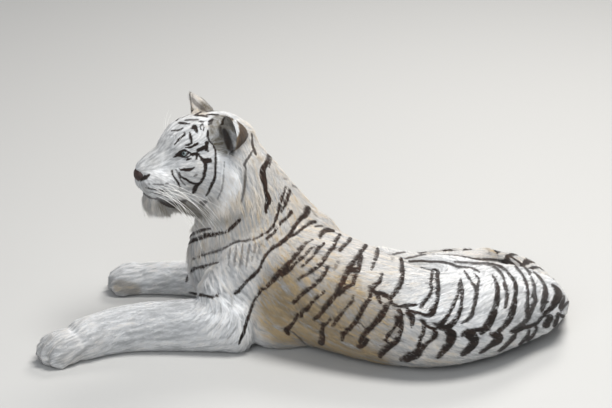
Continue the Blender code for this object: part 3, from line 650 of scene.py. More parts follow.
bodyStrokes = [
    # neck
    (1, [(-128,581,10), (-134,553,14), (-148,527,18), (-148,501,20), (-141,475,14), (-139,452,12),
        (-131,429,18), (-131,415,16), (-138,392,10), (-138,377,4)]),
    (0.8, [(-119,570,5), (-126,535,5)]),
    (1, [(-70,466,6), (-79,438,8), (-91,406,10), (-96,380,9), (-105,349,8), (-116,326,8), (-136,308,6),
        (-168,291,5)]),
    (0.88, [(-168,291,5), (-183,285,5), (-214,279,5), (-239,277,5), (-264,265,5), (-293,249,5),
        (-324,240,5), (-355,230,4), (-393,216,3)]),
    (1, [(-56,452,10), (-65,423,10), (-73,403,9), (-85,380,5)]),
    (1, [(-50,380,12), (-67,357,8), (-85,343,8), (-99,325,9), (-116,303,8), (-136,288,5)]),
    (1, [(6,389,22), (-1,372,22), (-19,354,12), (-39,331,12), (-50,311,12), (-64,293,12), (-86,273,12),
        (-108,259,12), (-120,252,10), (-136,234,8), (-149,212,8), (-161,183,8), (-183,158,10), (-202,143,9),
        (-221,121,10), (-233,108,12), (-246,96,6)]),
    (0.4, [(-246,96,6), (-258,83,6), (-255,67,6)]),
    (0.5, [(19,386,5), (33,366,5)]),
    (1, [(30,346,10), (7,337,10), (-16,320,8), (-39,303,8), (-56,294,10)]),
    (1, [(47,290,8), (57,310,14), (75,317,14), (95,314,8)]),
    (0.9, [(30,329,4), (55,331,5)]),
    (0.6, [(-75,495,6), (-68,492,6)]),
    (0.6, [(-45,470,6), (-30,465,6)]),
    # chest and forelegs
    (0.97, [(-408,296,6), (-382,308,7), (-361,316,7), (-330,322,5)]),
    (1, [(-408,274,8), (-374,287,11), (-345,298,12), (-313,303,10), (-286,308,7), (-265,318,8),
        (-241,340,10), (-228,353,8)]),
    (0.97, [(-412,139,5), (-406,158,6), (-393,177,8), (-377,187,7), (-352,191,6), (-330,199,5),
        (-302,205,3)]),
    (0.4, [(-396,146,3), (-380,152,3), (-368,163,3)]),
    (0.97, [(-402,101,3), (-377,96,8), (-352,92,8), (-327,86,7), (-308,91,6), (-299,100,4)]),
    (0.5, [(-337,39,5), (-318,36,5), (-296,39,5), (-293,55,5), (-296,64,4)]),
    (0.4, [(-352,55,4), (-377,71,3)]),
    (0.4, [(-239,-14,4), (-255,-42,4), (-268,-58,3)]),
    # strands of the breast
    (0.55, [(-260,256,3), (-264,226,5), (-268,196,3)]),
    (0.55, [(-240,264,3), (-244,228,6), (-248,190,3)]),
    (0.6, [(-218,268,3), (-222,232,6), (-229,186,3)]),
    (0.6, [(-194,270,3), (-199,236,6), (-207,188,3)]),
    (0.55, [(-174,272,3), (-179,240,5), (-187,204,3)]),
    (0.5, [(-160,276,3), (-166,246,5), (-173,214,3)]),
    # flank
    (1, [(23,284,5), (5,277,9), (-4,268,10), (-23,246,14), (-39,227,14), (-58,205,14), (-73,187,16),
        (-92,171,16), (-108,149,14), (-127,130,12), (-139,118,10), (-155,111,10), (-164,96,8), (-180,71,6),
        (-189,45,7), (-199,17,8), (-208,-11,9), (-214,-36,9), (-224,-58,8), (-229,-77,4)]),
    (1, [(27,260,4), (11,249,8), (-1,234,8), (-17,218,9), (-33,205,9), (-48,190,10), (-64,174,12),
        (-83,161,10)]),
    (1, [(61,270,10), (43,252,9), (30,234,7), (14,218,8), (1,204,8), (-19,187,6)]),
    (1, [(117,301,8), (105,284,12), (95,262,12), (86,249,12), (73,234,14), (64,218,14), (48,199,14),
        (29,183,12), (8,168,10), (-14,155,8), (-27,146,4)]),
    (1, [(152,286,12), (139,271,12), (127,259,12), (117,246,8)]),
    (0.6, [(111,208,10), (102,190,10), (98,180,8)]),
    (1, [(76,193,8), (67,174,12), (55,155,14), (39,136,12), (20,121,12), (-2,105,12), (-21,89,12),
        (-33,77,12), (-43,66,10)]),
    (1, [(64,105,8), (48,92,9), (29,77,10), (14,61,14), (1,42,12), (-14,36,14), (-16,20,10)]),
    (1, [(205,263,14), (189,243,14), (171,218,12), (152,193,16), (139,168,18), (127,143,16), (114,121,14),
        (105,99,16), (89,77,16), (70,55,16), (55,36,14), (39,17,12), (26,8,6)]),
    (1, [(189,227,14), (186,205,14), (180,180,14), (167,155,14), (164,136,14), (155,127,10), (139,118,10),
        (124,105,12), (111,96,14)]),
    (1, [(155,178,16), (170,178,16)]),
    (0.97, [(163,91,6), (158,71,8), (142,52,8), (127,33,8), (111,14,12), (98,-5,10), (89,-12,6)]),
    (1, [(222,105,12), (218,80,14), (208,64,14), (196,45,14), (186,27,12), (174,5,14), (158,-14,14),
        (139,-33,14), (127,-42,14), (125,-61,12)]),
    (0.97, [(247,249,12), (244,230,12), (233,202,10), (227,183,10)]),
    (1, [(261,165,8), (257,146,10), (243,130,14), (227,121,18), (218,121,10)]),
    (1, [(224,118,14), (236,102,8), (249,86,10), (257,67,10)]),
    (0.5, [(291,230,8), (293,215,8)]),
    (1, [(329,219,8), (330,199,12), (332,174,14), (330,149,16), (324,130,16), (312,108,16), (296,89,16),
        (290,77,16), (296,64,12), (312,52,10), (324,36,12), (329,27,10)]),
    (1, [(246,102,10), (265,96,14), (283,86,14)]),
    (1, [(280,58,16), (271,39,18), (261,24,20), (246,5,20), (230,-11,18), (214,-30,16), (199,-45,16),
        (189,-61,14), (186,-70,10)]),
    (1, [(211,-61,14), (199,-80,12), (180,-86,12)]),
    (1, [(315,17,16), (312,-5,12), (299,-27,10), (283,-45,12), (274,-61,12)]),
    (1, [(327,30,12), (327,8,14), (330,-14,14), (324,-39,14), (315,-61,18), (299,-77,18), (280,-89,20),
        (262,-107,20), (256,-118,12)]),
    (1, [(323,52,8), (342,56,12), (380,58,8)]),
    (0.6, [(-45,-34,4), (-25,-54,4), (-4,-76,4)]),
    (1, [(-29,27,8), (-39,5,10), (-55,-14,14), (-67,-30,16), (-61,-42,8)]),
    (1, [(83,8,8), (70,-5,10), (58,-14,14), (55,-33,14), (55,-55,20), (53,-70,20)]),
    # loin
    (1, [(342,50,10), (355,38,12), (370,33,12), (389,31,8), (405,25,10), (420,22,14), (433,31,22),
        (442,50,18), (449,66,14), (455,88,12), (455,132,12), (452,157,12), (455,169,12), (452,179,8),
        (439,182,4)]),
    (1, [(436,176,8), (433,157,8), (430,132,8), (433,116,9), (427,94,9), (414,78,10), (402,63,12),
        (394,50,8)]),
    (0.8, [(398,188,3), (414,182,3), (433,179,3)]),
    (1, [(348,34,14), (361,22,22), (367,6,18), (364,-19,6)]),
    (1, [(398,6,8), (408,-6,14), (405,-31,14), (395,-56,12), (389,-78,12), (381,-97,14), (373,-113,18)]),
    (1, [(409,-9,10), (427,-20,8), (442,-25,12), (447,-41,14), (439,-56,14), (423,-69,10), (408,-85,12),
        (395,-103,14), (383,-116,20), (364,-122,20), (345,-132,16)]),
    (1, [(329,-129,14), (345,-116,10), (358,-105,5)]),
    (1, [(533,147,6), (530,125,10), (527,107,12), (518,85,12), (511,63,10), (499,38,10), (486,16,12),
        (471,0,16), (458,-13,20)]),
    (1, [(533,147,6), (538,119,10), (538,94,12), (536,69,10), (533,44,12), (524,19,14), (508,-3,18),
        (489,-19,16), (467,-22,16), (452,-9,12), (439,-3,4)]),
    (0.97, [(546,176,4), (558,157,8), (571,135,9), (583,119,8)]),
    (0.97, [(580,166,4), (593,154,5), (596,138,6), (590,119,12), (587,94,14), (583,69,12), (577,44,10),
        (571,22,12), (555,6,12), (536,-6,4)]),
    (1, [(489,-34,20), (502,-44,34), (499,-63,30), (489,-81,26), (471,-103,20), (455,-122,12)]),
    # top of the thigh
    (0.88, [(301,232,5), (317,237,5), (342,241,4)]),
    (0.9, [(342,219,4), (370,224,5), (408,232,4), (458,230,4), (499,230,4), (536,226,4), (571,218,6),
        (607,216,7), (651,215,7), (688,208,6)]),
    (0.9, [(514,208,5), (546,205,6), (583,202,7), (615,201,8), (637,196,8)]),
    (0.95, [(358,208,6), (395,210,7), (427,208,7), (464,207,7), (496,201,7), (521,191,7), (546,188,6),
        (571,185,6), (587,179,6), (597,172,6)]),
    # rump
    (1, [(644,160,5), (654,141,10), (660,116,14), (660,94,16), (657,69,20), (651,44,18), (635,16,16),
        (623,-6,16), (607,-25,16), (588,-28,12), (572,-28,8), (550,-34,14), (538,-45,14)]),
    (1, [(654,38,14), (648,16,12), (638,-6,12), (623,-25,14), (604,-38,14)]),
    (1, [(550,-41,20), (572,-50,36), (579,-69,30), (566,-88,26), (550,-103,20), (538,-113,12)]),
    (0.97, [(626,204,6), (641,194,8), (663,179,8), (679,157,8), (685,132,9), (692,110,10), (692,82,12),
        (687,50,8)]),
    (1, [(638,201,6), (663,194,7), (685,182,8), (704,160,9), (720,138,10), (724,113,14), (721,82,14),
        (717,57,20), (710,31,20), (701,9,20), (688,-9,16), (670,-28,14), (657,-41,12)]),
    (1, [(638,-44,14), (657,-47,26), (666,-56,28), (654,-69,24), (635,-81,16), (616,-97,12), (601,-107,8)]),
    (0.97, [(688,207,6), (707,204,7), (723,191,8), (739,172,9), (751,154,9), (760,132,10), (764,107,10),
        (764,78,10), (762,50,12), (764,25,16), (762,9,14)]),
    (0.95, [(704,226,4), (726,213,5), (748,194,6), (767,172,6), (779,147,7), (787,125,10), (787,97,14),
        (790,75,14), (782,50,14), (773,28,14), (762,9,16), (748,-6,14), (726,-22,14), (710,-31,10)]),
    (0.97, [(786,172,4), (804,154,8), (820,132,10), (826,107,16), (823,78,20), (817,50,14), (811,31,4)]),
    (0.8, [(739,204,4), (757,188,4), (776,169,4)]),
    (1, [(840,14,24), (828,-10,24)]),
    (1, [(710,-34,12), (726,-31,14), (751,-19,14), (779,-13,12), (798,-3,10), (814,16,10), (826,31,12),
        (848,50,18), (864,75,26), (870,97,26), (861,116,16), (848,129,5)]),
    (0.97, [(889,88,8), (886,69,12), (876,50,10)]),
    (0.97, [(905,69,6), (892,56,8), (880,41,8)]),
    (1, [(869,28,8), (886,19,12), (902,9,14), (914,-9,16)]),
    (1, [(869,28,8), (864,6,14), (858,-13,14)]),
    (1, [(723,-41,8), (717,-53,14), (701,-69,14), (685,-85,12), (666,-100,8)]),
    (1, [(770,-31,8), (764,-47,12), (751,-63,10), (735,-78,6)]),
    (1, [(795,-19,8), (789,-38,8), (776,-53,12), (764,-63,8)]),
]


softStrokes = {
    # patches with soft edges, written as the strokes are: grey, ink, painted light, painted shade, pale and
    # cream
    "grey": [
        (0.72, [(-303,694,44), (-300,660,72), (-290,618,62), (-282,586,30)]),
        (0.7, [(-300,703,30), (-262,700,26)]),
        # painted shade under the jaw and down the throat
        (0.6, [(-420,404,34), (-385,388,52), (-350,372,44)]),
        (0.35, [(-560,470,20), (-545,452,24)]),
        # painted shade under the mouth, behind the chin
        (0.45, [(-505,405,26), (-470,392,30), (-430,396,26)]),
        (0.3, [(-300,345,30), (-250,352,30), (-215,372,20)]),
        (0.45, [(-212,520,12), (-210,480,14), (-214,430,10)]),
        (0.22, [(-545,560,40), (-500,600,40), (-470,620,30)]),
    ],
    "ink": [
        # painted shadow deep in the near ear's hollow
        (0.85, [(-281,660,16), (-272,632,26), (-262,604,24), (-256,588,14)]),
        (0.55, [(-296,668,14), (-290,640,16)]),
        (0.8, [(-513,427,7), (-494,414,16), (-462,407,20), (-432,412,13), (-410,420,6)]),
        (0.6, [(-393,786,6), (-388,765,14), (-374,748,16), (-356,737,12), (-342,727,8)]),
    ],
    # painted light: the lit ruff, the rump's end, the lower rump and the elbow drawn brighter
    "paintedLight": [
        (0.7, [(-300,590,20), (-275,545,40), (-258,490,58), (-262,430,46), (-290,380,24)]),
        (0.25, [(842,140,40), (866,70,60), (880,20,50)]),
        (0.16, [(560,-40,90), (720,-50,90)]),
        (0.2, [(-262,60,70), (-330,20,50), (-420,10,40)]),
    ],
    # painted shade: parts of the flank, the face, the chin, the forelegs and the paws drawn dimmer
    "paintedShade": [
        (0.36, [(-60,70,90), (60,-10,140), (170,-70,150)]),
        (0.2, [(120,70,110), (230,10,120), (300,-50,100)]),
        (0.28, [(230,-110,50), (330,-120,40)]),
        (0.14, [(-140,150,60), (-40,170,70), (120,120,80)]),
        (0.14, [(440,110,110), (520,90,60)]),
        (0.34, [(-890,-85,60), (-850,-95,90), (-790,-95,60)]),
        (0.4, [(-660,125,70), (-610,105,80)]),
        (0.14, [(-560,130,60), (-440,110,60)]),
        (0.22, [(-440,660,110), (-400,690,60)]),
        (0.17, [(-560,560,50), (-500,600,70), (-460,630,60)]),
        (0.2, [(-410,530,110), (-390,480,90)]),
        (0.2, [(-550,500,60), (-500,465,60)]),
        (0.16, [(-565,415,60), (-520,395,50)]),
        (0.14, [(-720,-40,110), (-520,0,130), (-400,30,100)]),
    ],
    "pale": [
        (1.0, [(-247,700,9), (-240,678,15), (-236,655,13), (-238,640,6)]),
        # a painted rim light along the near ear's edge
        (1.0, [(-250,694,4), (-247,655,4), (-246,615,4)]),
    ],
    "cream": [
        (0.9, [(-150,118,30), (-120,60,60), (-95,20,60), (-60,-10,30)]),
        (0.5, [(-400,730,30), (-350,722,30)]),
        (0.42, [(-640,122,50), (-590,112,40)]),
        (0.25, [(-560,410,50), (-500,395,40)]),
    ],
}


def landedAt(surface, x, h):
    # where the line of sight through the board's (x, h) meets the skin
    way = boardAhead * boardSpan + boardUp * (h - boardView @ boardUp) + np.array((x - boardView[0], 0, 0))
    hit = surface.ray_cast(Vector(boardView), Vector(way))[0]
    return tuple(hit) if hit is not None else (np.nan,) * 3


def strokeLines(strokes, surface, scale, added):
    # each stroke made dense in metres, with the places where it lands on the skin
    made = []
    for darkness, rows in strokes:
        line = throughPoints(np.array(rows, float), strokeSettings["spacing"]) * mm
        line[:, 0] += boardShift
        line[:, 2] = line[:, 2] * scale + added
        landed = np.array([landedAt(surface, x, h) for x, h, _ in line])
        good = ~np.isnan(landed[:, 0])
        if not good.any():
            continue
        spots = np.flatnonzero(good)
        nearest = spots[np.abs(np.arange(len(line))[:, None] - spots[None]).argmin(axis=1)]
        made.append((darkness, line, landed[nearest]))
    return made


def onBoard(points):
    # X and H of the points as they appear on the board
    away = points - boardView
    share = boardSpan / (away @ boardAhead)
    across = boardView[0] + away[:, 0] * share
    return np.stack([across, boardView @ boardUp + (away @ boardUp) * share], axis=1)


def inkAt(points, lines, soft, reach):
    # 1 inside a stroke and 0 outside; only points within reach of where the stroke landed take it
    if not len(points):
        return np.zeros(0)
    flat = onBoard(points)
    ragged = sum(wobble(points, size, seed) * most for size, seed, most in strokeSettings["ragged"])
    ink = np.zeros(len(points))
    for darkness, line, landed in lines:
        margin = line[:, 2].max() / 2 + 0.005
        low, high = line[:, :2].min(axis=0) - margin, line[:, :2].max(axis=0) + margin
        near = np.flatnonzero(((flat > low) & (flat < high)).all(axis=1))
        if not len(near):
            continue
        best = np.full(len(near), -1e9)
        for a, b, hit in zip(line, line[1:], landed):
            along = b[:2] - a[:2]
            t = np.clip(((flat[near] - a[:2]) @ along) / max(along @ along, 1e-12), 0, 1)
            away = np.linalg.norm(flat[near] - a[:2] - t[:, None] * along, axis=1)
            inside = (a[2] + (b[2] - a[2]) * t) / 2 - away
            inside[((points[near] - hit) ** 2).sum(axis=1) > reach**2] = -1e9
            best = np.maximum(best, inside)
        value = darkness * smoothStep(best + ragged[near], -soft, soft)
        ink[near] = np.maximum(ink[near], value)
    return ink


ringSettings = {
    # the line, the rings' spacing, how much of each is dark, where they begin and end as shares of the line,
    # and where they show: 0 on the turned side only, 1 also on the far legs, 2 all round
    "tail": ("tail", 0.085, 0.46, 0.16, 1.1, 2),
    "thigh": ("rightHindLeg", 0.078, 0.36, 0.04, 0.60, 0),
    "shank": ("rightHindLeg", 0.085, 0.15, 0.74, 0.86, 1),
    "otherShank": ("leftHindLeg", 0.085, 0.15, 0.25, 0.72, 1),
    "foreleg": ("rightForeleg", 0.095, 0.17, 0.06, 0.62, 0),
}
bandSettings = {
    # spacing of the bands on the turned side, how much of each is dark, and where along the line they begin
    "trunk": (0.072, 0.38, 0.08),
    "neck": (0.082, 0.26, 0.06),
}
bandInk = 0.97  # how dark the rings and bands are
bandEdge = 0.04  # half the width of their edges, as a share of the spacing


def sawAt(run, spacing):
    # 0 in the middle of a ring and 1 half way between two
    return np.abs((run / spacing) % 1 - 0.5) * 2


def ringsAt(points, nearest, facing):
    # rings round a limb: dark where the saw of run + wander is within its share, narrower underneath
    ink = np.zeros(len(points))
    angle, run = roundLine(points, nearest)
    wander = wobble(points, 0.11, 11) * 0.018 + wobble(points, 0.03, 12) * 0.004
    farLegs = smoothStep(points[:, 1], 0.02, 0.10)
    shown = (1 - facing, np.maximum(1 - facing, farLegs), np.ones(len(points)))
    for name, (line, spacing, share, begin, end, where) in ringSettings.items():
        number = lineNames.index(line)
        length = stations["run"][stations["line"] == number].max()
        here = stations["line"][nearest] == number
        narrowing = 0.15 if name == "tail" else 0.35
        wide = share * (1 - narrowing + narrowing * np.cos(angle))
        band = smoothStep(wide - sawAt(run + wander, spacing), -bandEdge, bandEdge)
        place = run / length
        fade = smoothStep(place, begin, begin + 0.06) * (1 - smoothStep(place, end, end + 0.1))
        if name == "tail":
            band = np.maximum(band, smoothStep(place, 0.95, 0.965))  # the dark tip
        ink = np.where(here, np.maximum(ink, band * fade * shown[where] * bandInk), ink)
    return ink


def farBandsAt(points, nearest):
    # the side away from the board: slanted bands down the neck and ribs that thin out towards the belly
    angle, run = roundLine(points, nearest)
    wander = wobble(points, 0.16, 21) * 0.030 + wobble(points, 0.035, 22) * 0.004
    ink = np.zeros(len(points))
    for name, (spacing, share, begin) in bandSettings.items():
        here = stations["line"][nearest] == lineNames.index(name)
        saw = sawAt(run + wander - np.abs(angle) * 0.035, spacing)
        # over the rolled hips the bands reach further round
        rolled = np.abs(angle) - 0.9 * smoothStep(points[:, 0], 0.25, 0.50)
        wide = share * (1 - smoothStep(rolled, 1.5, 2.5)) * (0.75 + 0.25 * wobble(points, 0.1, 23))
        band = smoothStep(wide - saw, -bandEdge, bandEdge) * smoothStep(run, begin, begin + 0.08)
        ink = np.where(here, band * bandInk, ink)
    return ink


def mirrorHead(points):
    # the same place on the left half of the head
    local = inHead(points)
    return onHead(local[:, :1], np.abs(local[:, 1:2]), local[:, 2:])


def mirrorBody(points, nearest):
    # the point reflected in the plane through the body line and its top
    away = points - stations["place"][nearest]
    across = (away * stations["side"][nearest]).sum(axis=1)
    return points - 2 * across[:, None] * stations["side"][nearest]


def stripesAt(points, normals):
    # the strokes as drawn, their mirror images and the far bands on the turned side, and the rings
    s = strokeSettings
    nearest = nearestStation(points)
    facing = smoothStep(-(normals @ boardAhead), *s["turned"])
    head = nearHead(points)
    ink = inkAt(points, bodyInk, s["soft"], s["bodyReach"]) * (1 - smoothStep(head, 0.6, 0.9))
    onTrunk = np.isin(stations["line"][nearest], [lineNames.index("trunk"), lineNames.index("neck")])
    turned = np.flatnonzero((facing < 0.999) & onTrunk)
    if len(turned):
        mirrored = mirrorBody(points[turned], nearest[turned])
        other = inkAt(mirrored, bodyInk, s["soft"], s["mirrorReach"])
        bands = farBandsAt(points[turned], nearest[turned]) * (mirrored[:, 1] > points[turned, 1] - 0.02)
        fade = (1 - facing[turned]) * (1 - head[turned])
        other = other * (1 - smoothStep(points[turned, 0], 0.24, 0.40))
        ink[turned] = np.maximum(ink[turned], np.maximum(other, bands) * fade)
    ink = np.maximum(ink, ringsAt(points, nearest, facing))
    face = np.flatnonzero(head > 0.01)
    if len(face):
        drawn = inkAt(mirrorHead(points[face]), faceInk, s["soft"] * s["faceSoft"], s["faceReach"])
        ink[face] = np.maximum(ink[face], drawn * smoothStep(head[face], 0, 0.3))
    return ink, nearest


toneSettings = {
    # seen from the side: X and H on the board and reach in millimetres, and how cream the fur is there,
    # from 0 (cold white) to 1 (tan)
    "nape": (-110, 560, 70, 0.25), "neck": (-170, 480, 80, 0.28), "neckLow": (-180, 385, 70, 0.46),
    "throat": (-350, 290, 80, 0.25), "ruff": (-262, 480, 50, 0.0), "ruffTop": (-290, 540, 50, 0.05),
    "cheek": (-340, 500, 50, 0.12), "muzzle": (-540, 520, 70, 0.05), "forehead": (-420, 650, 60, 0.03),
    "breast": (-330, 150, 70, 0.1), "shoulder": (-220, 200, 60, 0.22), "elbow": (-250, 30, 80, 0.0),
    "foreleg": (-500, 10, 150, 0.0), "paw": (-850, -80, 100, 0.08), "shoulderTop": (-110, 290, 60, 0.44),
    "side": (-70, 110, 60, 0.85), "armpit": (-120, 30, 50, 1.0), "withers": (40, 340, 60, 0.4),
    "back": (150, 260, 70, 0.28), "backEnd": (280, 180, 60, 0.26), "ribs": (60, 180, 60, 0.54),
    "flankFront": (0, 20, 70, 0.9), "flank": (110, 50, 70, 0.82), "flankEnd": (210, 0, 70, 0.62),
    "flankLow": (150, -90, 60, 0.85), "loinTop": (370, 150, 60, 0.14), "loin": (470, 100, 70, 0.02),
    "loinLow": (400, -100, 70, 0.25), "rump": (620, 60, 100, 0.02), "rumpEnd": (800, 60, 100, 0.0),
    "rumpLow": (650, -80, 70, 0.1), "thigh": (500, 215, 60, 0.0), "hip": (290, 248, 40, 0.0),
    "hock": (640, 246, 20, 0.85),
}
hiddenTones = {
    # on the hidden side: place, reach and how cream
    "neckFar": ((-0.15, 0.06, 0.5), 0.11, 0.35),
    "farFlank": ((0.05, 0.1, 0.3), 0.18, 0.5),
    "belly": ((0.2, 0.05, 0.1), 0.15, 0.1),
    "farForeleg": ((-0.5, 0.27, 0.08), 0.2, 0.05),
    "farShoulder": ((-0.15, 0.15, 0.25), 0.12, 0.2),
    "farRump": ((0.65, 0.0, 0.22), 0.12, 0.1),
    "hindFeet": ((0.42, 0.42, 0.045), 0.1, 0.35),
    "shin": ((0.45, 0.2, 0.17), 0.12, 0.03),
    "tail": ((0.75, 0.35, 0.04), 0.2, 0.25),
    "tailEnd": ((0.5, 0.54, 0.03), 0.15, 0.25),
    "farFace": (onHead(0.06, -0.1, 0.0), 0.1, 0.05),
    "farRuff": (onHead(-0.05, -0.14, -0.1), 0.07, 0.02),
    "underJaw": (onHead(0.08, 0.0, -0.21), 0.06, 0.2),
}
earSettings = {
    # side, place in the head's frame, its plate's turns in degrees (swing, lean, splay), half width and cup,
    # then the pale spot on its back: across, height and their reaches, as shares of the half sizes
    "left_ear": (1, (-0.032, 0.128, 0.086), 7, 2, 20, 0.060, 0.072, (0.40, 0.80, 0.20, 0.20)),
    "right_ear": (-1, (-0.006, -0.100, 0.102), 32, 14, 12, 0.058, 0.060, (0.10, 0.36, 0.55, 0.26)),
}
earHalfDepth, earHalfHeight = 0.0085, 0.074
earTaper = 0.42  # how much shallower the cup is at the tip
greyPlaces = {
    # place, reach and how grey the fur is
    "earFrontRight": (onHead(0.03, -0.095, 0.102), 0.022, 0.4),
    "cornerLeft": (onHead(0.118, 0.04, 0.022), 0.016, 0.35),
    "cornerRight": (onHead(0.118, -0.04, 0.022), 0.016, 0.35),
    "bridge": (onHead(0.215, 0, -0.03), 0.03, 0.22),
    # painted shade under the jaw
    "underJaw": (onHead(0.06, 0.02, -0.21), 0.05, 0.2),
}


def turnMatrix(angle, axis):
    c, s = math.cos(angle), math.sin(angle)
    if axis == "x":
        return np.array(((1, 0, 0), (0, c, -s), (0, s, c)))
    if axis == "y":
        return np.array(((c, 0, s), (0, 1, 0), (-s, 0, c)))
    return np.array(((c, -s, 0), (s, c, 0), (0, 0, 1)))


def inEar(name, points):
    # out of the ear's hollow, across it and towards its tip, as shares of its half sizes
    side, place, swing, lean, splay, halfWidth, _, _ = earSettings[name]
    axes = np.stack([headForward, headLeft, headUp], axis=1)
    turn = (axes @ turnMatrix(math.radians(side * swing), "z") @ turnMatrix(math.radians(-side * splay), "x")
            @ turnMatrix(math.radians(lean), "y"))
    local = (points - onHead(*place)) @ turn
    return local / (earHalfDepth, halfWidth, earHalfHeight), turn


def earParts(points, normals):
    # how far each point belongs to an ear, 0 in its hollow to 1 on its back, its rim, where the rim light is
    # painted, its pale spot, and how far out from the plate's middle it is; the plate is depth = cup (far^2 -
    # 1) (1 - taper height)
    belongs, back, rimLight, spot, out = (np.zeros(len(points)) for _ in range(5))
    for name, (side, _, _, _, _, halfWidth, cup, pale) in earSettings.items():
        local, turn = inEar(name, points)
        depth, across, height = local.T
        far = np.hypot(across, height)
        lean = 1 - earTaper * height
        bowl = depth * earHalfDepth - cup * (far**2 - 1) * lean
        here = smoothStep(1.35 - far, 0, 0.2) * smoothStep(0.013 - np.abs(bowl), 0, 0.004)
        here *= smoothStep(height, -0.62, -0.38)
        slope = np.stack([np.ones(len(points)), -2 * cup * across / halfWidth * lean,
                          -2 * cup * height / earHalfHeight * lean], axis=1)
        faces = ((normals @ turn) * unit(slope)).sum(axis=1)
        ratio = ((across * side - pale[0]) / pale[2]) ** 2 + ((height - pale[1]) / pale[3]) ** 2
        replaced = here > belongs
        belongs = np.where(replaced, here, belongs)
        back = np.where(replaced, smoothStep(-faces, -0.15, 0.25), back)
        rimLight = np.where(replaced, smoothStep(far, 0.84, 0.94), rimLight)
        spot = np.where(replaced, np.exp(-ratio), spot)
        out = np.where(replaced, far, out)
    return belongs, back, rimLight, spot, out


# half the width of each kind of patch's edge
softEdges = {"grey": 0.007, "cream": 0.010, "ink": 0.0035, "pale": 0.003, "paintedLight": 0.016, "paintedShade": 0.020}


def creamAt(points):
    # the mean of the places' values by placeWeight
    total = np.full(len(points), 1e-6)
    value = np.full(len(points), 1e-6 * 0.2)
    for place, reach, cream in tonePlaces:
        weight = placeWeight(points, place, reach)
        total += weight
        value += weight * cream
    return value / total


def softAt(points, kind):
    # the soft patches of one kind, which lie on the side of the board and on both forelegs
    near = (points[:, 1] < 0.04) | (points[:, 0] < -0.35)
    value = np.zeros(len(points))
    value[near] = inkAt(points[near], softInk[kind], softEdges[kind], strokeSettings["softReach"])
    return value


def markingsAt(points, normals):
    # stripe ink, cream and grey from 0 to 1, the painted light less the painted shade, and the nearest
    # station
    ink, nearest = stripesAt(points, normals)
    cream = np.clip(creamAt(points) + wobble(points, 0.05, 31) * 0.06, 0, 1)
    grey = np.zeros(len(points))
    for place, reach, value in greyPlaces.values():
        grey = np.maximum(grey, value * np.exp(-((points - place) ** 2).sum(axis=1) / reach**2))
    ink = np.maximum(ink, lidInk(points))
    belongs, back, rimLight, spot, out = earParts(points, normals)
    # the ear's back is dark with a pale spot, lighter at the edge with painted rim light; the hollow is tan,
    # with painted shade darkest deep inside
    right = inHead(points)[:, 1] < 0
    darkBack = back * (1 - smoothStep(spot, 0.25, 0.7)) * (1 - 0.5 * rimLight) * np.where(right, 0.15, 0.88)
    hollowShade = (1 - back) * (1 - smoothStep(out, 0.35, 0.75)) * np.where(right, 0.4, 0.85)
    ink = ink * (1 - belongs) + belongs * np.maximum(darkBack, hollowShade)
    cream = cream * (1 - belongs) + belongs * np.where(back > 0.5, np.where(right, 0.35, 0.9), 0.40)
    grey = grey * (1 - belongs) + belongs * (1 - back) * (1 - rimLight) * np.where(right, 0.2, 0.55)
    soft = {kind: softAt(points, kind) for kind in softInk}
    # the first patches of the head are on its other half too, the ruff's painted light among them
    other = np.flatnonzero(right & (nearHead(points) > 0.3))
    mirrored = mirrorHead(points[other])
    for kind in ("grey", "ink", "paintedLight"):
        value = inkAt(mirrored, softInk[kind][:3], softEdges[kind], strokeSettings["mirrorSoftReach"])
        soft[kind][other] = np.maximum(soft[kind][other], value)
    grey = np.maximum(grey, soft["grey"])
    ink = np.maximum(ink, soft["ink"]) * (1 - soft["pale"])
    cream = np.maximum(cream, soft["cream"]) * (1 - soft["pale"])
    return ink, cream, grey, soft["paintedLight"] - soft["paintedShade"], nearest


def inkOf(points, normals):
    # the ink alone, as markingsAt gives it
    ink, _ = stripesAt(points, normals)
    ink = np.maximum(ink, lidInk(points))
    ink = np.maximum(ink, softAt(points, "ink")) * (1 - softAt(points, "pale"))
    ears = np.flatnonzero(earParts(points, normals)[0] > 0)
    if len(ears):
        ink[ears] = markingsAt(points[ears], normals[ears])[0]
    return ink


def lidInk(points):
    # the bare dark edge of the lids, wider at the inner corner
    ink = np.zeros(len(points))
    for side, centre in ((1, leftEye), (-1, rightEye)):
        forward, inner, top = gaze(side)
        away = points - centre
        opening = lidOpening(away @ inner, away @ top)
        front = (away @ forward > 0) & (np.linalg.norm(away, axis=1) < lidSettings["reach"])
        width = 0.42 + 0.25 * smoothStep(away @ inner, 0.004, 0.014)
        ink = np.where(front, np.maximum(ink, smoothStep(opening, -width - 0.12, -width + 0.05)), ink)
    return ink * bandInk


# The lie of the coat.
flowSettings = {
    # place, reach, direction and strength, beside the lines of the body
    "chestFront": ((-0.400, -0.080, 0.300), 0.12, (0.15, 0.00, -1.0), 2.0),
    "breastLeft": ((-0.260, -0.300, 0.200), 0.10, (0.35, 0.00, -1.0), 1.6),
    "throat": (onHead(-0.02, 0.0, -0.24), 0.08, (0.35, 0.0, -1.0), 1.6),
    "ruffLeft": (onHead(-0.06, 0.13, -0.10), 0.08, (0.55, -0.10, -1.0), 2.2),
    "ruffRight": (onHead(-0.06, -0.13, -0.10), 0.08, (0.55, 0.25, -1.0), 2.2),
    "chin": (onHead(0.20, 0.0, -0.18), 0.05, (0.10, 0.0, -1.0), 3.0),
}
droopSettings = {
    # how far the hair leans down the side of each line of the body
    "head": 0.0,
    "neck": 0.35,
    "trunk": 0.38,
    "leftForeleg": 0.15,
    "rightForeleg": 0.15,
    "rightHindLeg": 0.20,
    "leftHindLeg": 0.15,
    "tail": 0.05,
}
noseTip = onHead(0.245, 0, -0.045)


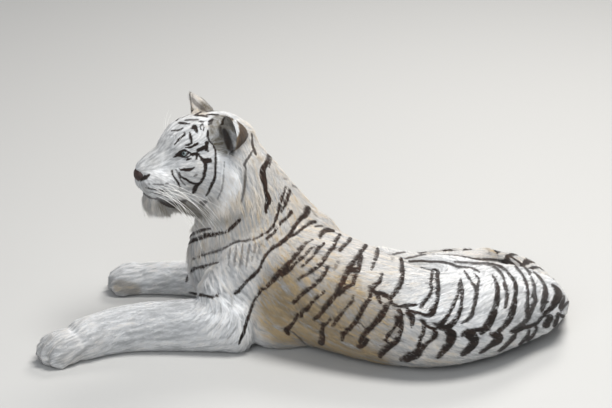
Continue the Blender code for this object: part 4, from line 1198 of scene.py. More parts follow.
def flowAt(points, normals):
    # tangents of the nearby lines, leaning away from their tops; on the face, straight away from the nose
    flow = np.zeros_like(points)
    droop = np.array([droopSettings[name] for name in lineNames])
    for k, line in enumerate(stations["line"]):
        along, top, side = (stations[key][k] for key in ("along", "top", "side"))
        away = points - stations["place"][k]
        share = (away**2).sum(axis=1) / (stations["radius"][k] * 1.15) ** 2
        weight = 1 / (0.15 + share) ** 4
        outward = unit(away - (away @ along)[:, None] * along)
        # down the flank: round the line, away from its top
        down = np.sign(away @ side)[:, None] * side * np.clip(outward @ top, 0, 1)[:, None]
        down = down - top * np.clip(np.abs(outward @ side), 0, 1)[:, None]
        flow += weight[:, None] * (along + down * droop[line])
    flow = unit(flow)
    for place, reach, direction, strength in flowSettings.values():
        weight = np.exp(-((points - place) ** 2).sum(axis=1) / reach**2) * strength
        flow += weight[:, None] * unit(direction)
    # away from the nose, and behind the eyes and on the chin down as well as back
    forward, _, up = inHead(points).T
    fromNose = unit(points - noseTip)
    cheek = smoothStep(0.06 - forward, 0, 0.12) * smoothStep(-up, -0.06, 0.08)
    fromNose = fromNose - cheek[:, None] * headUp * 0.9
    fromChin = smoothStep(-up, 0.115, 0.15) * smoothStep(forward, 0.06, 0.12)
    fromNose = fromNose - fromChin[:, None] * headUp * 0.8
    share = (nearHead(points) * smoothStep(forward, -0.10, 0.02))[:, None]
    flow = flow * (1 - share) + unit(fromNose) * share
    # up and outwards on the ears
    for name in earSettings:
        ear, turn = inEar(name, points)
        depth, across, height = ear.T
        here = smoothStep(1.4 - np.hypot(across, height), 0, 0.2) * (np.abs(depth) < 9)
        here = here * smoothStep(height, -0.5, -0.2)
        outward = turn[:, 2] + turn[:, 1] * (across * 0.6)[:, None]
        flow = flow * (1 - here[:, None]) + unit(outward) * here[:, None]
    flow = flow - (flow * normals).sum(axis=1)[:, None] * normals
    return unit(flow)


tuftSettings = {
    "sink": 0.0006,  # how far a root is buried in the skin
    "share": 0.95,  # all spacings are divided by the square root of this
    "lengths": (0.70, 1.20),  # least and most, as shares of the coat's own sizes
    "widths": (0.80, 1.24),
    "lifts": (0.5, 1.5),
    "longFrom": 0.0265,  # from this length a tuft has a bend in it
    "swirl": 0.15,
    "looks": (0.08, 0.22, 0.36, 0.52, 0.68, 0.84, 1.0),  # where along it a tuft looks for stripes
    "darkPast": 0.12,  # how far past a stripe's edge a dark tuft ends, as a share of its length
    "paleBefore": 0.10,  # how far before it a pale one ends
    "faceEdge": 0.70,  # width of the tufts at an edge on the face, and of dark and pale ones on the body
    "darkEdge": 1.40,
    "paleEdge": 0.85,
    "least": 0.004,  # no tuft is cut shorter than this
    "overFloor": 0.0006,
    "patch": 0.003,  # a tuft's size on the map
    "heaviest": 190000,  # triangles in a piece
}
lockSettings = {
    # size, seed and reach of the streaks, and how strong they are: two for the body, two for the face
    "body": ((0.0125, 51, 0.014, 1.05), (0.030, 52, 0.030, 0.65)),
    "face": ((0.0085, 53, 0.006, 0.70), (0.016, 54, 0.010, 0.40)),
    "waves": 44,
    "shade": 0.24,  # how much a streak changes the shade
}


def scatterRoots():
    # roots spread over the skin, as many in each triangle as its area asks for
    points, tris = meshArrays(skin)
    normals = vertexNormals(points, tris)
    corners = points[tris]
    centres = corners.mean(axis=1)
    across = np.cross(corners[:, 1] - corners[:, 0], corners[:, 2] - corners[:, 0])
    area = np.linalg.norm(across, axis=1) / 2
    density = area / (coatAt(centres)[:, 3] * mm) ** 2 * tuftSettings["share"]
    density *= 0.15 + 0.85 * smoothStep(centres[:, 2], 0.003, 0.012)
    density *= bareSkin(centres)
    total = np.cumsum(density)
    count = int(total[-1])
    marks = (np.arange(count) + rng.uniform(0, 1, count)) / count * total[-1]
    chosen = np.clip(np.searchsorted(total, marks), 0, len(tris) - 1)
    a, b = rng.uniform(0, 1, (2, count))
    flip = a + b > 1
    a[flip], b[flip] = 1 - a[flip], 1 - b[flip]
    share = np.stack([1 - a - b, a, b], axis=1)
    roots = (corners[chosen] * share[:, :, None]).sum(axis=1)
    return roots, unit((normals[tris[chosen]] * share[:, :, None]).sum(axis=1))


def bareSkin(points):
    # 0 on the nose leather, in the eyes and between the lids, 1 where hair grows
    bare = np.ones(len(points))
    reach, edge = lidSettings["bare"]
    for side, centre in ((1, leftEye), (-1, rightEye)):
        forward, inner, top = gaze(side)
        away = points - centre
        opening = lidOpening(away @ inner, away @ top)
        front = (away @ forward > 0) & (np.linalg.norm(away, axis=1) < reach)
        bare[front & (opening > edge)] = 0
    low, high = np.array(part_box("nose")[0]), np.array(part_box("nose")[1])
    bare[((points > low - mm) & (points < high + mm)).all(axis=1)] = 0
    return bare


def bentWay(flow, normals, length):
    # the way a long tuft's outer half goes: back along the skin, and hanging where nothing is under it
    hang = 0.8 * smoothStep(length, 0.022, 0.034) * smoothStep(0.5 - normals[:, 2], 0, 0.4)
    return unit(flow * 0.93 + normals * 0.02 - hang[:, None] * np.array((0, 0, 1)))


def placeAlong(roots, ahead, after, length, share):
    # the point a share of the way along each tuft: straight, or from half way along the bent way if long
    outer = np.where(length > tuftSettings["longFrom"], max(share - 0.5, 0), 0) * length
    return roots + ahead * (share * length - outer)[:, None] + after * outer[:, None]


def growCoat():
    # every tuft's root, lie, size and markings
    s = tuftSettings
    roots, normals = scatterRoots()
    count = len(roots)
    sizes = coatAt(roots)
    length = sizes[:, 0] * mm * rng.uniform(*s["lengths"], count)
    width = sizes[:, 2] * mm * rng.uniform(*s["widths"], count)
    lift = sizes[:, 4] * rng.uniform(*s["lifts"], count)
    flow = flowAt(roots, normals)
    side = np.cross(normals, flow)
    swirl = wobble(roots, 0.04, 41) * 0.25 + rng.normal(0, s["swirl"], count)
    flow = unit(flow * np.cos(swirl)[:, None] + side * np.sin(swirl)[:, None])
    side = np.cross(normals, flow)
    _, cream, grey, paintedLight, nearest = markingsAt(roots + flow * (length * 0.5)[:, None], normals)
    streak = locksAt(roots, flow)
    length = length * np.clip(1 + 0.30 * streak * smoothStep(length, 0.022, 0.030), 0.6, 1.5)
    lift = lift * np.clip(1 + 0.45 * streak, 0.35, 1.9)
    ahead = np.cos(lift)[:, None] * flow + np.sin(lift)[:, None] * normals
    after = bentWay(flow, normals, length)
    shares = np.array(s["looks"])
    inks = np.stack([inkOf(placeAlong(roots, ahead, after, length, share), normals) for share in shares])
    cream = np.clip(cream + (0.05 + 0.24 * cream) * streak + rng.normal(0, 0.05, count), 0, 1)
    grey = np.clip(grey * (1 + 0.40 * streak), 0, 1)
    # a pale tuft ends before it meets a stripe, and a dark one a little beyond the stripe's edge
    dark = inks > 0.5
    differs = dark != dark[0]
    changed = differs.any(axis=0)
    turn = np.maximum(differs.argmax(axis=0), 1)
    ends = (shares[turn] + shares[turn - 1]) / 2 + np.where(dark[0], s["darkPast"], -s["paleBefore"])
    cut = np.maximum(length * np.clip(ends, 0.1, 1), np.minimum(length, s["least"]))
    length = np.where(changed, cut, length)
    # at an edge the tufts are narrow on the face; on the body the dark ones are wide, so that a stripe closes
    edge = changed | ((inks[0] > 0.15) & (inks[0] < 0.85))
    head = nearHead(roots)
    onBody = np.where(dark[0], s["darkEdge"], s["paleEdge"])
    width = np.where(edge, width * (s["faceEdge"] * head + onBody * (1 - head)), width)
    bent = length > s["longFrom"]
    inks = [np.where(bent & ~changed, inks[k], inks[0]) for k in (0, 3, 6)]
    # the shade holds painted light and shade, the locks' streaks and random differences between tufts
    shade = 0.5 + paintedLight + streak * lockSettings["shade"] + rng.uniform(-0.16, 0.16, count)
    angle, run = roundLine(roots, nearest)
    line = np.where(earParts(roots, normals)[0] > 0.5, len(lineNames), stations["line"][nearest])
    return {"root": roots, "normal": normals, "side": side, "ahead": ahead, "flow": flow, "length": length,
            "width": width, "inkRoot": inks[0], "inkMiddle": inks[1], "inkTip": inks[2], "cream": cream,
            "grey": grey, "shade": np.clip(shade, 0, 1), "line": line, "angle": angle, "run": run}


def locksAt(points, flow):
    # the coat parts into locks: coarse and fine streaks together, finer on the face
    head = nearHead(points) * smoothStep(inHead(points)[:, 0], -0.06, 0.02)
    body, face = (sum(streaksAt(points, flow, size, seed, reach) * strength
                      for size, seed, reach, strength in lockSettings[part]) for part in ("body", "face"))
    return body * (1 - head) + face * head


def streaksAt(points, flow, size, seed, reach):
    # locks: many sine waves, each counting as exp(-(its change over reach along the hair)^2 / 2)
    r = np.random.default_rng(seed)
    number = lockSettings["waves"]
    ways = unit(r.normal(size=(number, 3))) * (2 * math.pi / size) * r.uniform(0.6, 1.5, (number, 1))
    starts = r.uniform(0, 6.28, number)
    total, power = np.zeros(len(points)), np.full(len(points), 1e-3)
    for way, start in zip(ways, starts):
        weight = np.exp(-((flow @ way) * reach) ** 2 / 2)
        total += np.sin(points @ way + start) * weight
        power += weight**2 / 2
    return total / np.sqrt(power)


tuftShapes = {
    # whether bent, then its faces, how far along each corner is, and on which side
    False: (((0, 2, 1), (0, 1, 3), (1, 2, 3), (2, 0, 3)), (0, 0, 0, 1.0), (-1, 1, 0, 0.0)),
    True: (((0, 2, 1), (0, 1, 4), (0, 4, 3), (1, 2, 5), (1, 5, 4), (2, 0, 3), (2, 3, 5), (3, 4, 6), (4, 5, 6),
            (5, 3, 6)), (0, 0, 0, 0.5, 0.5, 0.5, 1.0), (-1, 1, 0, -0.8, 0.8, 0, 0.0)),
}


def tuftCorners(t, bent):
    # a ring of three corners at the root, another half way if bent, and the tip
    root = t["root"] - t["normal"] * tuftSettings["sink"]
    side = t["side"] * (t["width"] / 2)[:, None]
    rise = t["normal"] * (t["width"] * 0.42)[:, None]
    reach = t["ahead"] * t["length"][:, None]
    if not bent:
        return np.stack([root - side, root + side, root + rise, root + reach], axis=1)
    middle = root + reach * 0.5
    way = bentWay(t["flow"], t["normal"], t["length"])
    tip = middle + way * (t["length"] * 0.5)[:, None]
    half = [middle - side * 0.8, middle + side * 0.8, middle + rise * 0.8]
    return np.stack([root - side, root + side, root + rise, *half, tip], axis=1)


def tuftPiece(name, tufts, chosen):
    # each tuft is a closed spike; long ones are bent where half their length is out
    long = tufts["length"][chosen] > tuftSettings["longFrom"]
    points, tris, shading, maps, start = [], [], [], [], 0
    values = {key: [] for key in ("ink", "cream", "grey", "shade", "along")}
    for bent, (faces, along, spread) in tuftShapes.items():
        pick = chosen[long == bent]
        if not len(pick):
            continue
        t = {key: value[pick] for key, value in tufts.items()}
        faces, along, spread = np.array(faces), np.array(along), np.array(spread)
        verts = tuftCorners(t, bent)
        count, corners = verts.shape[:2]
        verts = verts.reshape(-1, 3)
        verts[:, 2] = np.maximum(verts[:, 2], tuftSettings["overFloor"])
        points.append(verts)
        tris.append((faces[None] + (np.arange(count) * corners)[:, None, None] + start).reshape(-1, 3))
        start += count * corners
        for key in ("cream", "grey", "shade"):
            values[key].append(np.repeat(t[key], corners))
        inks = np.stack([t["inkRoot"], t["inkMiddle"], t["inkTip"]], axis=1)
        values["ink"].append(inks[:, np.round(along * 2).astype(int)].ravel())
        values["along"].append(np.tile(along, count))
        tilt = t["side"][:, None] * (spread * 0.35)[None, :, None]
        shading.append(unit(t["normal"][:, None] + tilt + t["flow"][:, None] * 0.10).reshape(-1, 3))
        maps.append((t["angle"], t["run"], along, spread, corners))
    piece = newPiece(name, np.vstack(points), np.vstack(tris))
    for key, value in values.items():
        setAttribute(piece, key, np.concatenate(value))
    addBakeMap(piece, maps, tufts["run"][chosen])
    piece.data.normals_split_custom_set_from_vertices(np.vstack(shading).astype(np.float32))
    return piece


def addBakeMap(piece, maps, run):
    # the skin unrolled round its line: angle across, run up, and every tuft a small patch at its root
    low, high = run.min(), run.max()
    patch = tuftSettings["patch"] / 2
    rows = []
    for angle, along, share, spread, corners in maps:
        across = np.repeat((angle / (2 * math.pi) + 0.5) * 0.98 + 0.01, corners)
        up = np.repeat((along - low) / max(high - low, 1e-6) * 0.98 + 0.01, corners)
        rows.append(np.stack([across + np.tile(spread, len(angle)) * patch,
                              up + (np.tile(share, len(angle)) * 2 - 1) * patch], axis=1))
    places = np.vstack(rows)
    layer = piece.data.uv_layers.new(name="OFBake")
    index = np.empty(len(piece.data.loops), np.int32)
    piece.data.loops.foreach_get("vertex_index", index)
    layer.data.foreach_set("uv", places[index].astype(np.float32).ravel())


def coatPieces(tufts):
    # the coat parted by body line, and long lines by run, so that no piece is too heavy
    made = []
    weight = np.where(tufts["length"] > tuftSettings["longFrom"], 10, 4)
    for number, name in enumerate([*lineNames, "ears"]):
        here = np.flatnonzero(tufts["line"] == number)
        order = here[np.argsort(tufts["run"][here])]
        heavy = np.cumsum(weight[order])
        parts = int(heavy[-1] / tuftSettings["heaviest"]) + 1
        for part in range(parts):
            chosen = order[(heavy > heavy[-1] * part / parts) & (heavy <= heavy[-1] * (part + 1) / parts)]
            ending = f"_{part + 1}" if parts > 1 else ""
            made.append(tuftPiece("coat_" + name + ending, tufts, chosen))
    return made


eyeSettings = {
    "gap": 0.0001,
    "bulge": 0.0008,
    "bulgeAngle": 40,  # degrees from the eye's axis within which its front is raised
    "rings": 72,
    "sides": 96,
    "stops": [  # colours by the angle from the axis, as a share of 60 degrees: pupil, pale iris, dark edge
        (0.0, (0.004, 0.004, 0.005)), (0.165, (0.004, 0.004, 0.005)), (0.21, (0.10, 0.13, 0.13)),
        (0.29, (0.20, 0.25, 0.25)), (0.41, (0.17, 0.22, 0.22)), (0.47, (0.05, 0.065, 0.07)),
        (0.51, (0.012, 0.010, 0.009)), (0.75, (0.020, 0.014, 0.011)),
    ],
}


def ballOfRings(rings, sides):
    # angle from the pole and angle round it for every vertex, and the faces, with both poles closed
    tilt = np.linspace(0, math.pi, rings + 1)[1:-1]
    turn = np.arange(sides) * 2 * math.pi / sides
    tilt, turn = np.meshgrid(tilt, turn, indexing="ij")
    index = np.arange(tilt.size).reshape(tilt.shape) + 1
    after = np.roll(index, -1, axis=1)
    walls = np.stack([index[:-1], index[1:], after[1:], after[:-1]], axis=-1).reshape(-1, 4)
    first = np.stack([np.zeros(sides, int), index[0], after[0]], axis=-1)
    final = np.stack([np.full(sides, tilt.size + 1), after[-1], index[-1]], axis=-1)
    tris = np.vstack([walls[:, [0, 1, 2]], walls[:, [0, 2, 3]], first, final])
    tilt = np.concatenate([[0], tilt.ravel(), [math.pi]])
    turn = np.concatenate([[0], turn.ravel(), [0]])
    return tilt, turn, tris


def ballWays(tilt, turn, pole, across):
    # the direction at each tilt from the pole and each turn from across
    return (np.cos(tilt)[:, None] * pole + (np.sin(tilt) * np.cos(turn))[:, None] * across
            + (np.sin(tilt) * np.sin(turn))[:, None] * np.cross(pole, across))


def buildEye(name, side, centre):
    # a ball about the way the eye looks, its front raised by bulge * (1 - smoothStep(angle, 0, bulgeAngle))
    s = eyeSettings
    tilt, turn, tris = ballOfRings(s["rings"], s["sides"])
    tilt = tilt * (0.35 + 0.65 * tilt / math.pi)
    forward, inner, _ = gaze(side)
    front = 1 - smoothStep(tilt, 0, math.radians(s["bulgeAngle"]))
    radius = eyeRadius - s["gap"] - s["bulge"] + s["bulge"] * front
    piece = newPiece(name, centre + ballWays(tilt, turn, forward, inner) * radius[:, None], tris)
    setAttribute(piece, "tilt", np.degrees(tilt))
    setAttribute(piece, "turn", turn / (2 * math.pi))
    return piece


noseSettings = {
    "rings": 90,
    "sides": 120,
    "half": (0.0235, 0.0275, 0.0240),  # forward, left and up
    "grow": 0.97,
    "power": 2.3,
    "narrow": 0.34,  # how much narrower it is at the lip
    "nostril": (0.010, 0.017, -0.003, 0.0065),  # forward, left and up of its middle, and its reach
    "nostrilShape": (1.3, 1, 0.75),  # its reach forward, sideways and up, as shares of the reach
    "nostrilDepth": 0.0085,
    "grooveWidth": 0.0016,
    "groove": 0.0030,
}


def buildNose():
    # the leather: a rounded block, with a nostril pressed in on each side and a groove down the middle
    s = noseSettings
    tilt, turn, tris = ballOfRings(s["rings"], s["sides"])
    ways = ballWays(tilt, turn, headForward, headLeft)
    local = np.stack([ways @ headForward, ways @ headLeft, ways @ headUp], axis=1)
    # |x|^p + |y|^p + |z|^p = 1 with the power p, for fuller corners
    local /= (np.abs(local) ** s["power"]).sum(axis=1, keepdims=True) ** (1 / s["power"])
    shape = local * np.array(s["half"]) * s["grow"]
    shape[:, 1] *= 1 - s["narrow"] * smoothStep(-local[:, 2], 0.0, 1.0)
    *place, reach = s["nostril"]
    away = np.stack([shape[:, 0], np.abs(shape[:, 1]), shape[:, 2]], axis=1) - place
    pit = np.exp(-(np.linalg.norm(away / s["nostrilShape"], axis=1) / reach) ** 2)
    normal = unit(local)
    shape -= normal * (pit * s["nostrilDepth"])[:, None]
    cleft = np.exp(-((shape[:, 1] / s["grooveWidth"]) ** 2))
    cleft = cleft * smoothStep(shape[:, 0], 0.0, 0.012) * (shape[:, 2] < 0.012)
    shape -= normal * (cleft * s["groove"])[:, None]
    points = middle("nose") + shape[:, :1] * headForward + shape[:, 1:2] * headLeft + shape[:, 2:] * headUp
    piece = newPiece("nose_leather", points, tris)
    setAttribute(piece, "pit", np.clip(pit * 1.3, 0, 1))
    return piece


whiskerSettings = {
    # rows of roots on the pad: forward, left, up in the head's frame, and how many hairs
    "rows": [((0.205, 0.050, -0.086), (0.150, 0.076, -0.082), 5),
             ((0.203, 0.052, -0.099), (0.145, 0.078, -0.095), 5),
             ((0.195, 0.052, -0.111), (0.150, 0.076, -0.109), 4)],
    "lengths": (0.15, 0.25),
    "thick": 0.00092,
    "taper": 0.82,
    "steps": 12,
    "sides": 5,
    # the hairs over the eye: root, direction and length
    "brow": [((0.118, 0.052, 0.068), (0.05, 0.25, 1.0), 0.075),
             ((0.112, 0.058, 0.066), (-0.15, 0.35, 1.0), 0.060),
             ((0.122, 0.046, 0.067), (0.25, 0.15, 1.0), 0.055)],
    "browBend": (-0.35, 0.10, -0.10),
    "browThin": 0.75,
}


def tubeMesh(lines, radii, sides):
    # tubes along many lines at once, shaped (lines, steps, 3), closed at both ends
    count, steps = lines.shape[:2]
    along = unit(np.gradient(lines, axis=1))
    across = unit(np.cross(along, np.array((0.31, 0.17, 0.93))))
    over = np.cross(along, across)
    turn = (np.arange(sides) * 2 * math.pi / sides)[:, None]
    ring = across[:, :, None] * np.cos(turn) + over[:, :, None] * np.sin(turn)
    points = lines[:, :, None] + ring * radii[:, :, None, None]
    index = np.arange(count * steps * sides).reshape(count, steps, sides)
    after = np.roll(index, -1, axis=2)
    a, b, c, d = index[:, :-1], after[:, :-1], after[:, 1:], index[:, 1:]
    faces = [np.stack(corners, -1).reshape(-1, 3) for corners in ((a, b, c), (a, c, d))]
    first, last = index[:, 0], index[:, -1]
    faces += [np.stack([first[:, 0], first[:, k + 1], first[:, k]], -1) for k in range(1, sides - 1)]
    faces += [np.stack([last[:, 0], last[:, k], last[:, k + 1]], -1) for k in range(1, sides - 1)]
    return points.reshape(-1, 3), np.vstack(faces)


def buildWhiskers(surface):
    # each hair leaves the pad backwards and outwards and sags: root + a t + b t^2 along its length
    s = whiskerSettings
    lines, radii = [], []
    t = np.linspace(0, 1, s["steps"])[:, None]
    radius = s["thick"] * (1 - s["taper"] * t[:, 0])
    shortest, longest = s["lengths"]
    for side in (1, -1):
        mirror = np.array((1, side, 1))
        for row, (front, rear, number) in enumerate(s["rows"]):
            for share in np.arange(number) / (number - 1):
                root = np.array(front) * (1 - share) + np.array(rear) * share + rng.normal(0, 0.0015, 3)
                length = shortest + (longest - shortest) * (0.25 + 0.75 * share) * rng.uniform(0.85, 1.1)
                back = -0.72 - 0.20 * share + rng.normal(0, 0.10)
                outward = 0.50 + rng.normal(0, 0.08)
                start = unit((back, outward, -0.38 + 0.12 * row + rng.normal(0, 0.13)))
                sag = np.array((0.06 + rng.normal(0, 0.06), -0.14, -0.55 + 0.06 * row + rng.normal(0, 0.12)))
                lines.append((root + start * length * t + sag * length * t**2) * mirror)
                radii.append(radius)
        for root, way, length in s["brow"]:
            bend = np.array(s["browBend"])
            lines.append((np.array(root) + unit(way) * length * t + bend * length * t**2) * mirror)
            radii.append(radius * s["browThin"])
    lines = np.array(lines)
    placed = onHead(lines[..., :1], lines[..., 1:2], lines[..., 2:])
    # every root is moved to just under the skin
    for line in placed:
        root = np.array(surface.find_nearest(Vector(line[0]))[0])
        line += root - line[0] + (line[0] - line[1]) * 0.05
    points, tris = tubeMesh(placed, np.array(radii), s["sides"])
    return newPiece("whiskers", points, tris)


def newGroup(name, inputs, outputs):
    tree = bpy.data.node_groups.new(name, "ShaderNodeTree")
    for label, value in inputs:
        socket = tree.interface.new_socket(name=label, in_out="INPUT", socket_type="NodeSocketFloat")
        socket.default_value = value
    for label, kind in outputs:
        tree.interface.new_socket(name=label, in_out="OUTPUT", socket_type=kind)
    return tree, tree.nodes.new("NodeGroupInput"), tree.nodes.new("NodeGroupOutput")


def putIn(tree, socket, value):
    # a link from another node's output, or a plain value
    if hasattr(value, "links"):
        tree.links.new(value, socket)
    else:
        socket.default_value = value


def addNode(tree, kind, inputs=None, **settings):
    # inputs holds values or other nodes' outputs by the name or number of the input
    node = tree.nodes.new(kind)
    for key, value in settings.items():
        setattr(node, key, value)
    for key, value in (inputs or {}).items():
        putIn(tree, node.inputs[key], value)
    return node


def mixColours(tree, factor, first, second, blend="MIX"):
    inputs = {0: factor, 6: first, 7: second}
    return addNode(tree, "ShaderNodeMix", inputs, data_type="RGBA", blend_type=blend).outputs[2]


def doSum(tree, operation, *values):
    return addNode(tree, "ShaderNodeMath", dict(enumerate(values)), operation=operation).outputs[0]


def evenColour(tree, value):
    # the same value in red, green and blue
    return addNode(tree, "ShaderNodeCombineColor", dict.fromkeys(range(3), value)).outputs[0]


coatColours = {
    "white": (0.80, 0.815, 0.83, 1),
    "cream": (0.48, 0.365, 0.215, 1),
    "ink": (0.026, 0.018, 0.015, 1),
    "brownInk": (0.060, 0.032, 0.020, 1),
    "grey": (0.125, 0.110, 0.080, 1),
}


def buildFurColour():
    # white hair turned cream, then ink or grey over it; roots are darker than tips, a painted shade deep in
    # the coat, and the shade brings painted light and shade as well as hairs that differ
    tree, start, end = newGroup(
        "FurColour",
        [("Ink", 0), ("Cream", 0.2), ("Grey", 0), ("Shade", 0.5), ("Along", 0.5), ("Variation", 0.66)],
        [("Colour", "NodeSocketColor")],
    )
    c, given = coatColours, start.outputs
    base = mixColours(tree, given["Cream"], c["white"], c["cream"])
    greyed = mixColours(tree, given["Grey"], base, c["grey"])
    ink = mixColours(tree, given["Cream"], c["ink"], c["brownInk"])
    marked = mixColours(tree, given["Ink"], greyed, ink)
    paintedLightAndVariety = doSum(tree, "MULTIPLY_ADD", given["Shade"], given["Variation"], 0.52)
    paintedLightAndVariety = doSum(tree, "SUBTRACT", paintedLightAndVariety, 0.02)
    # painted shade: the roots, deep in the coat, darker than the tips
    root = doSum(tree, "MULTIPLY_ADD", given["Along"], 0.16, 0.88)
    shades = evenColour(tree, doSum(tree, "MULTIPLY", paintedLightAndVariety, root))
    putIn(tree, end.inputs["Colour"], mixColours(tree, 1.0, marked, shades, "MULTIPLY"))
    return tree


def buildFurGrain():
    # fine streaks for the hairs too short to be tufts
    tree, start, end = newGroup(
        "FurGrain",
        [("Scale", 420), ("Strength", 0.4)],
        [("Shade", "NodeSocketFloat"), ("Normal", "NodeSocketVector")],
    )
    place = addNode(tree, "ShaderNodeTexCoord").outputs["Object"]
    noiseInputs = {"Detail": 4, "Vector": place, "Scale": start.outputs["Scale"]}
    noise = addNode(tree, "ShaderNodeTexNoise", noiseInputs).outputs["Fac"]
    bumpInputs = {"Distance": 0.002, "Strength": start.outputs["Strength"], "Height": noise}
    bump = addNode(tree, "ShaderNodeBump", bumpInputs)
    putIn(tree, end.inputs["Shade"], noise)
    putIn(tree, end.inputs["Normal"], bump.outputs["Normal"])
    return tree


furColour, furGrain = buildFurColour(), buildFurGrain()


def newMaterial(name, values):
    material = bpy.data.materials.new(name)
    material.use_nodes = True
    shader = material.node_tree.nodes["Principled BSDF"]
    for key, value in values.items():
        shader.inputs[key].default_value = value
    return material, material.node_tree, shader


def attributeNode(tree, name):
    return addNode(tree, "ShaderNodeAttribute", attribute_name=name).outputs["Fac"]


def coatMaterial(name, onSkin):
    values = {"Roughness": 0.85, "Specular IOR Level": 0.25, "Sheen Weight": 0.12, "Sheen Roughness": 0.5}
    material, tree, shader = newMaterial(name, values)
    shade = attributeNode(tree, "shade")
    inputs = {key.capitalize(): attributeNode(tree, key) for key in ("ink", "cream", "grey")}
    if onSkin:
        grain = addNode(tree, "ShaderNodeGroup", node_tree=furGrain).outputs
        both = doSum(tree, "MULTIPLY_ADD", grain["Shade"], 0.5, shade)
        # the skin lies at the roots of the coat and takes part of their painted shade
        inputs.update(Shade=doSum(tree, "SUBTRACT", both, 0.35), Along=0.3)
        putIn(tree, shader.inputs["Normal"], grain["Normal"])
    else:
        inputs.update(Shade=shade, Along=attributeNode(tree, "along"))
    colour = addNode(tree, "ShaderNodeGroup", inputs, node_tree=furColour)
    putIn(tree, shader.inputs["Base Color"], colour.outputs["Colour"])
    return material


def eyeMaterial():
    # pupil, pale iris with streaks from the pupil, dark edge, then dark brown
    values = {"Roughness": 0.25, "Coat Weight": 1.0, "Coat Roughness": 0.03}
    material, tree, shader = newMaterial("eye", values)
    tilt, turn = attributeNode(tree, "tilt"), attributeNode(tree, "turn")
    places = {0: doSum(tree, "MULTIPLY", turn, 60.0), 1: doSum(tree, "MULTIPLY", tilt, 0.12)}
    place = addNode(tree, "ShaderNodeCombineXYZ", places).outputs[0]
    noise = addNode(tree, "ShaderNodeTexNoise", {"Scale": 1.0, "Vector": place}).outputs["Fac"]
    streaks = addNode(tree, "ShaderNodeMapRange", {"To Min": 0.65, "To Max": 1.25, "Value": noise}).outputs[0]
    ramp = addNode(tree, "ShaderNodeValToRGB", {0: doSum(tree, "DIVIDE", tilt, 60.0)})
    stops, elements = eyeSettings["stops"], ramp.color_ramp.elements
    for element, (position, tint) in zip(elements, (stops[0], stops[-1])):
        element.position, element.color = position, (*tint, 1)
    for position, tint in stops[1:-1]:
        elements.new(position).color = (*tint, 1)
    result = mixColours(tree, 1.0, ramp.outputs["Color"], evenColour(tree, streaks), "MULTIPLY")
    putIn(tree, shader.inputs["Base Color"], result)
    return material


noseColours = {
    "pink": (0.070, 0.038, 0.034, 1),
    "brown": (0.022, 0.014, 0.013, 1),
    # painted shade in the nostrils' pits
    "nostril": (0.006, 0.005, 0.005, 1),
}


def noseMaterial():
    # brownish pink leather, with painted shade dark in the nostrils, and a fine pebbled grain
    material, tree, shader = newMaterial("nose_leather", {"Roughness": 0.5, "Specular IOR Level": 0.4})
    place = addNode(tree, "ShaderNodeTexCoord").outputs["Object"]
    cells = addNode(tree, "ShaderNodeTexVoronoi", {"Scale": 900, "Vector": place}).outputs["Distance"]
    patches = addNode(tree, "ShaderNodeTexNoise", {"Scale": 90, "Vector": place}).outputs["Fac"]
    leather = mixColours(tree, patches, noseColours["pink"], noseColours["brown"])
    colour = mixColours(tree, attributeNode(tree, "pit"), leather, noseColours["nostril"])
    bump = addNode(tree, "ShaderNodeBump", {"Strength": 0.5, "Distance": 0.0008, "Height": cells})
    putIn(tree, shader.inputs["Base Color"], colour)
    putIn(tree, shader.inputs["Normal"], bump.outputs["Normal"])
    return material


stageSettings = {
    "across": 2.1103,  # width of the view at the tiger
    "filmWidth": 36,  # millimetres
    "floor": 30,  # half its width
    "floorColour": (0.50, 0.50, 0.49, 1),
    "lampsFace": (0, 0, 0.3),
    "lamps": {  # place, width, power and colour
        "key": ((1.4, -0.8, 5.2), 2.4, 280, (1.0, 0.98, 0.95)),
        "fill": ((-0.6, -5.2, 3.0), 4.0, 150, (0.94, 0.97, 1.0)),
        "back": ((1.5, 3.5, 4.0), 2.0, 150, (1.0, 0.97, 0.93)),
    },
    "sky": (0.9, 0.93, 1.0, 1),
    "skyStrength": 0.26,
}


def look(obj, direction):
    obj.rotation_euler = Vector(direction).to_track_quat("-Z", "Y").to_euler()


def buildStage():
    # the camera stands where the side board is looked at from, and three lamps stand about the tiger
    s = stageSettings
    scene = bpy.context.scene
    forward, up = Vector(boardAhead), Vector(boardUp)
    camera = bpy.data.objects.new("camera", bpy.data.cameras.new("camera"))
    camera.data.sensor_width = s["filmWidth"]
    camera.data.lens = s["filmWidth"] * boardSpan / s["across"]
    camera.data.clip_end = 100
    camera.location = Vector(boardMiddle) + up * boardRise - forward * boardSpan
    look(camera, forward)
    scene.collection.objects.link(camera)
    scene.camera = camera
    far = s["floor"]
    corners = [(-far, -far, 0), (far, -far, 0), (far, far, 0), (-far, far, 0)]
    floor = newPiece("floor", corners, [(0, 1, 2, 3)])
    floorLook = {"Base Color": s["floorColour"], "Roughness": 0.9}
    floor.data.materials.append(newMaterial("floor", floorLook)[0])
    for name, (place, width, watts, tint) in s["lamps"].items():
        light = bpy.data.lights.new(name, "AREA")
        light.shape = "DISK"
        light.size, light.energy, light.color = width, watts, tint
        lamp = bpy.data.objects.new(name, light)
        lamp.location = place
        look(lamp, Vector(s["lampsFace"]) - Vector(place))
        scene.collection.objects.link(lamp)
    world = bpy.data.worlds.new("studio")
    world.use_nodes = True
    sky = world.node_tree.nodes["Background"].inputs
    sky["Color"].default_value, sky["Strength"].default_value = s["sky"], s["skyStrength"]
    scene.world = world
    scene.view_settings.view_transform = "Standard"


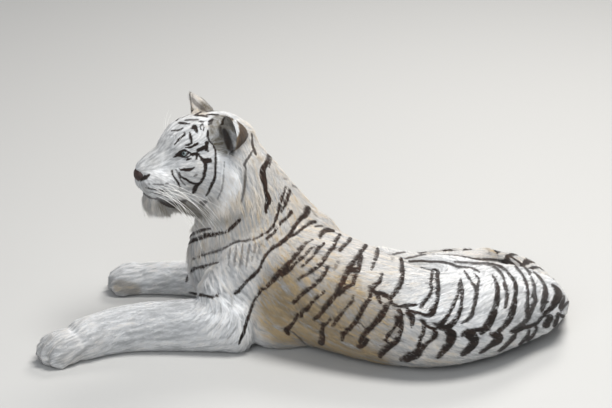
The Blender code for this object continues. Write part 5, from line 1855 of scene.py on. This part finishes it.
skin = buildSkin()
print("skin:", len(skin.data.polygons), "faces")
skinPoints, skinTris = meshArrays(skin)
skinNormals = vertexNormals(skinPoints, skinTris)
surface = BVHTree.FromPolygons(skinPoints.tolist(), skinTris.tolist())
bodyInk = strokeLines(bodyStrokes, surface, *strokeSettings["body"])
faceInk = strokeLines(faceStrokes, surface, *strokeSettings["face"])
softInk = {kind: strokeLines(strokes, surface, 1.0, 0.0) for kind, strokes in softStrokes.items()}
tonePlaces = [(np.array(landedAt(surface, x * mm + boardShift, h * mm)), reach * mm, cream)
              for x, h, reach, cream in toneSettings.values()]
tonePlaces = [row for row in tonePlaces if not np.isnan(row[0][0])] + list(hiddenTones.values())
print("strokes:", len(bodyInk) + len(faceInk))

skinInk, skinCream, skinGrey, skinPaintedLight, _ = markingsAt(skinPoints, skinNormals)
skinStreak = locksAt(skinPoints, flowAt(skinPoints, skinNormals))
# the skin's shade holds painted light and shade and the locks' streaks
skinShade = np.clip(0.5 + skinPaintedLight + skinStreak * lockSettings["shade"], 0, 1)
for key, value in (("ink", skinInk), ("cream", skinCream), ("grey", skinGrey), ("shade", skinShade)):
    setAttribute(skin, key, value)
skin.data.materials.append(coatMaterial("coat_skin", True))
print("skin marked")

tufts = growCoat()
print("tufts:", len(tufts["root"]))
coat = coatPieces(tufts)
tuftMaterial = coatMaterial("coat_tufts", False)
for piece in coat:
    piece.data.materials.append(tuftMaterial)
    print(" ", piece.name, len(piece.data.polygons))
print("coat:", sum(len(piece.data.polygons) for piece in coat), "triangles")

eyes = [buildEye("eye_left", 1, leftEye), buildEye("eye_right", -1, rightEye)]
wet = eyeMaterial()
for eye in eyes:
    eye.data.materials.append(wet)
nose = buildNose()
nose.data.materials.append(noseMaterial())
whiskers = buildWhiskers(surface)
whiskerLook = {"Base Color": (0.86, 0.85, 0.82, 1), "Roughness": 0.4}
whiskers.data.materials.append(newMaterial("whisker", whiskerLook)[0])
print("eyes, nose and whiskers")

buildStage()

for piece in (skin, *coat, *eyes, nose, whiskers):
    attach(piece, "root")
fleshNodes = [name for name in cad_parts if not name.endswith("_eye") and name != "nose"]
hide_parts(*fleshNodes)
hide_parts("left_eye")
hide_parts("right_eye")
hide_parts("nose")

meshes = [obj for obj in bpy.context.scene.objects if obj.type == "MESH" and not obj.hide_render]
print("whole model:", sum(len(obj.data.polygons) for obj in meshes))
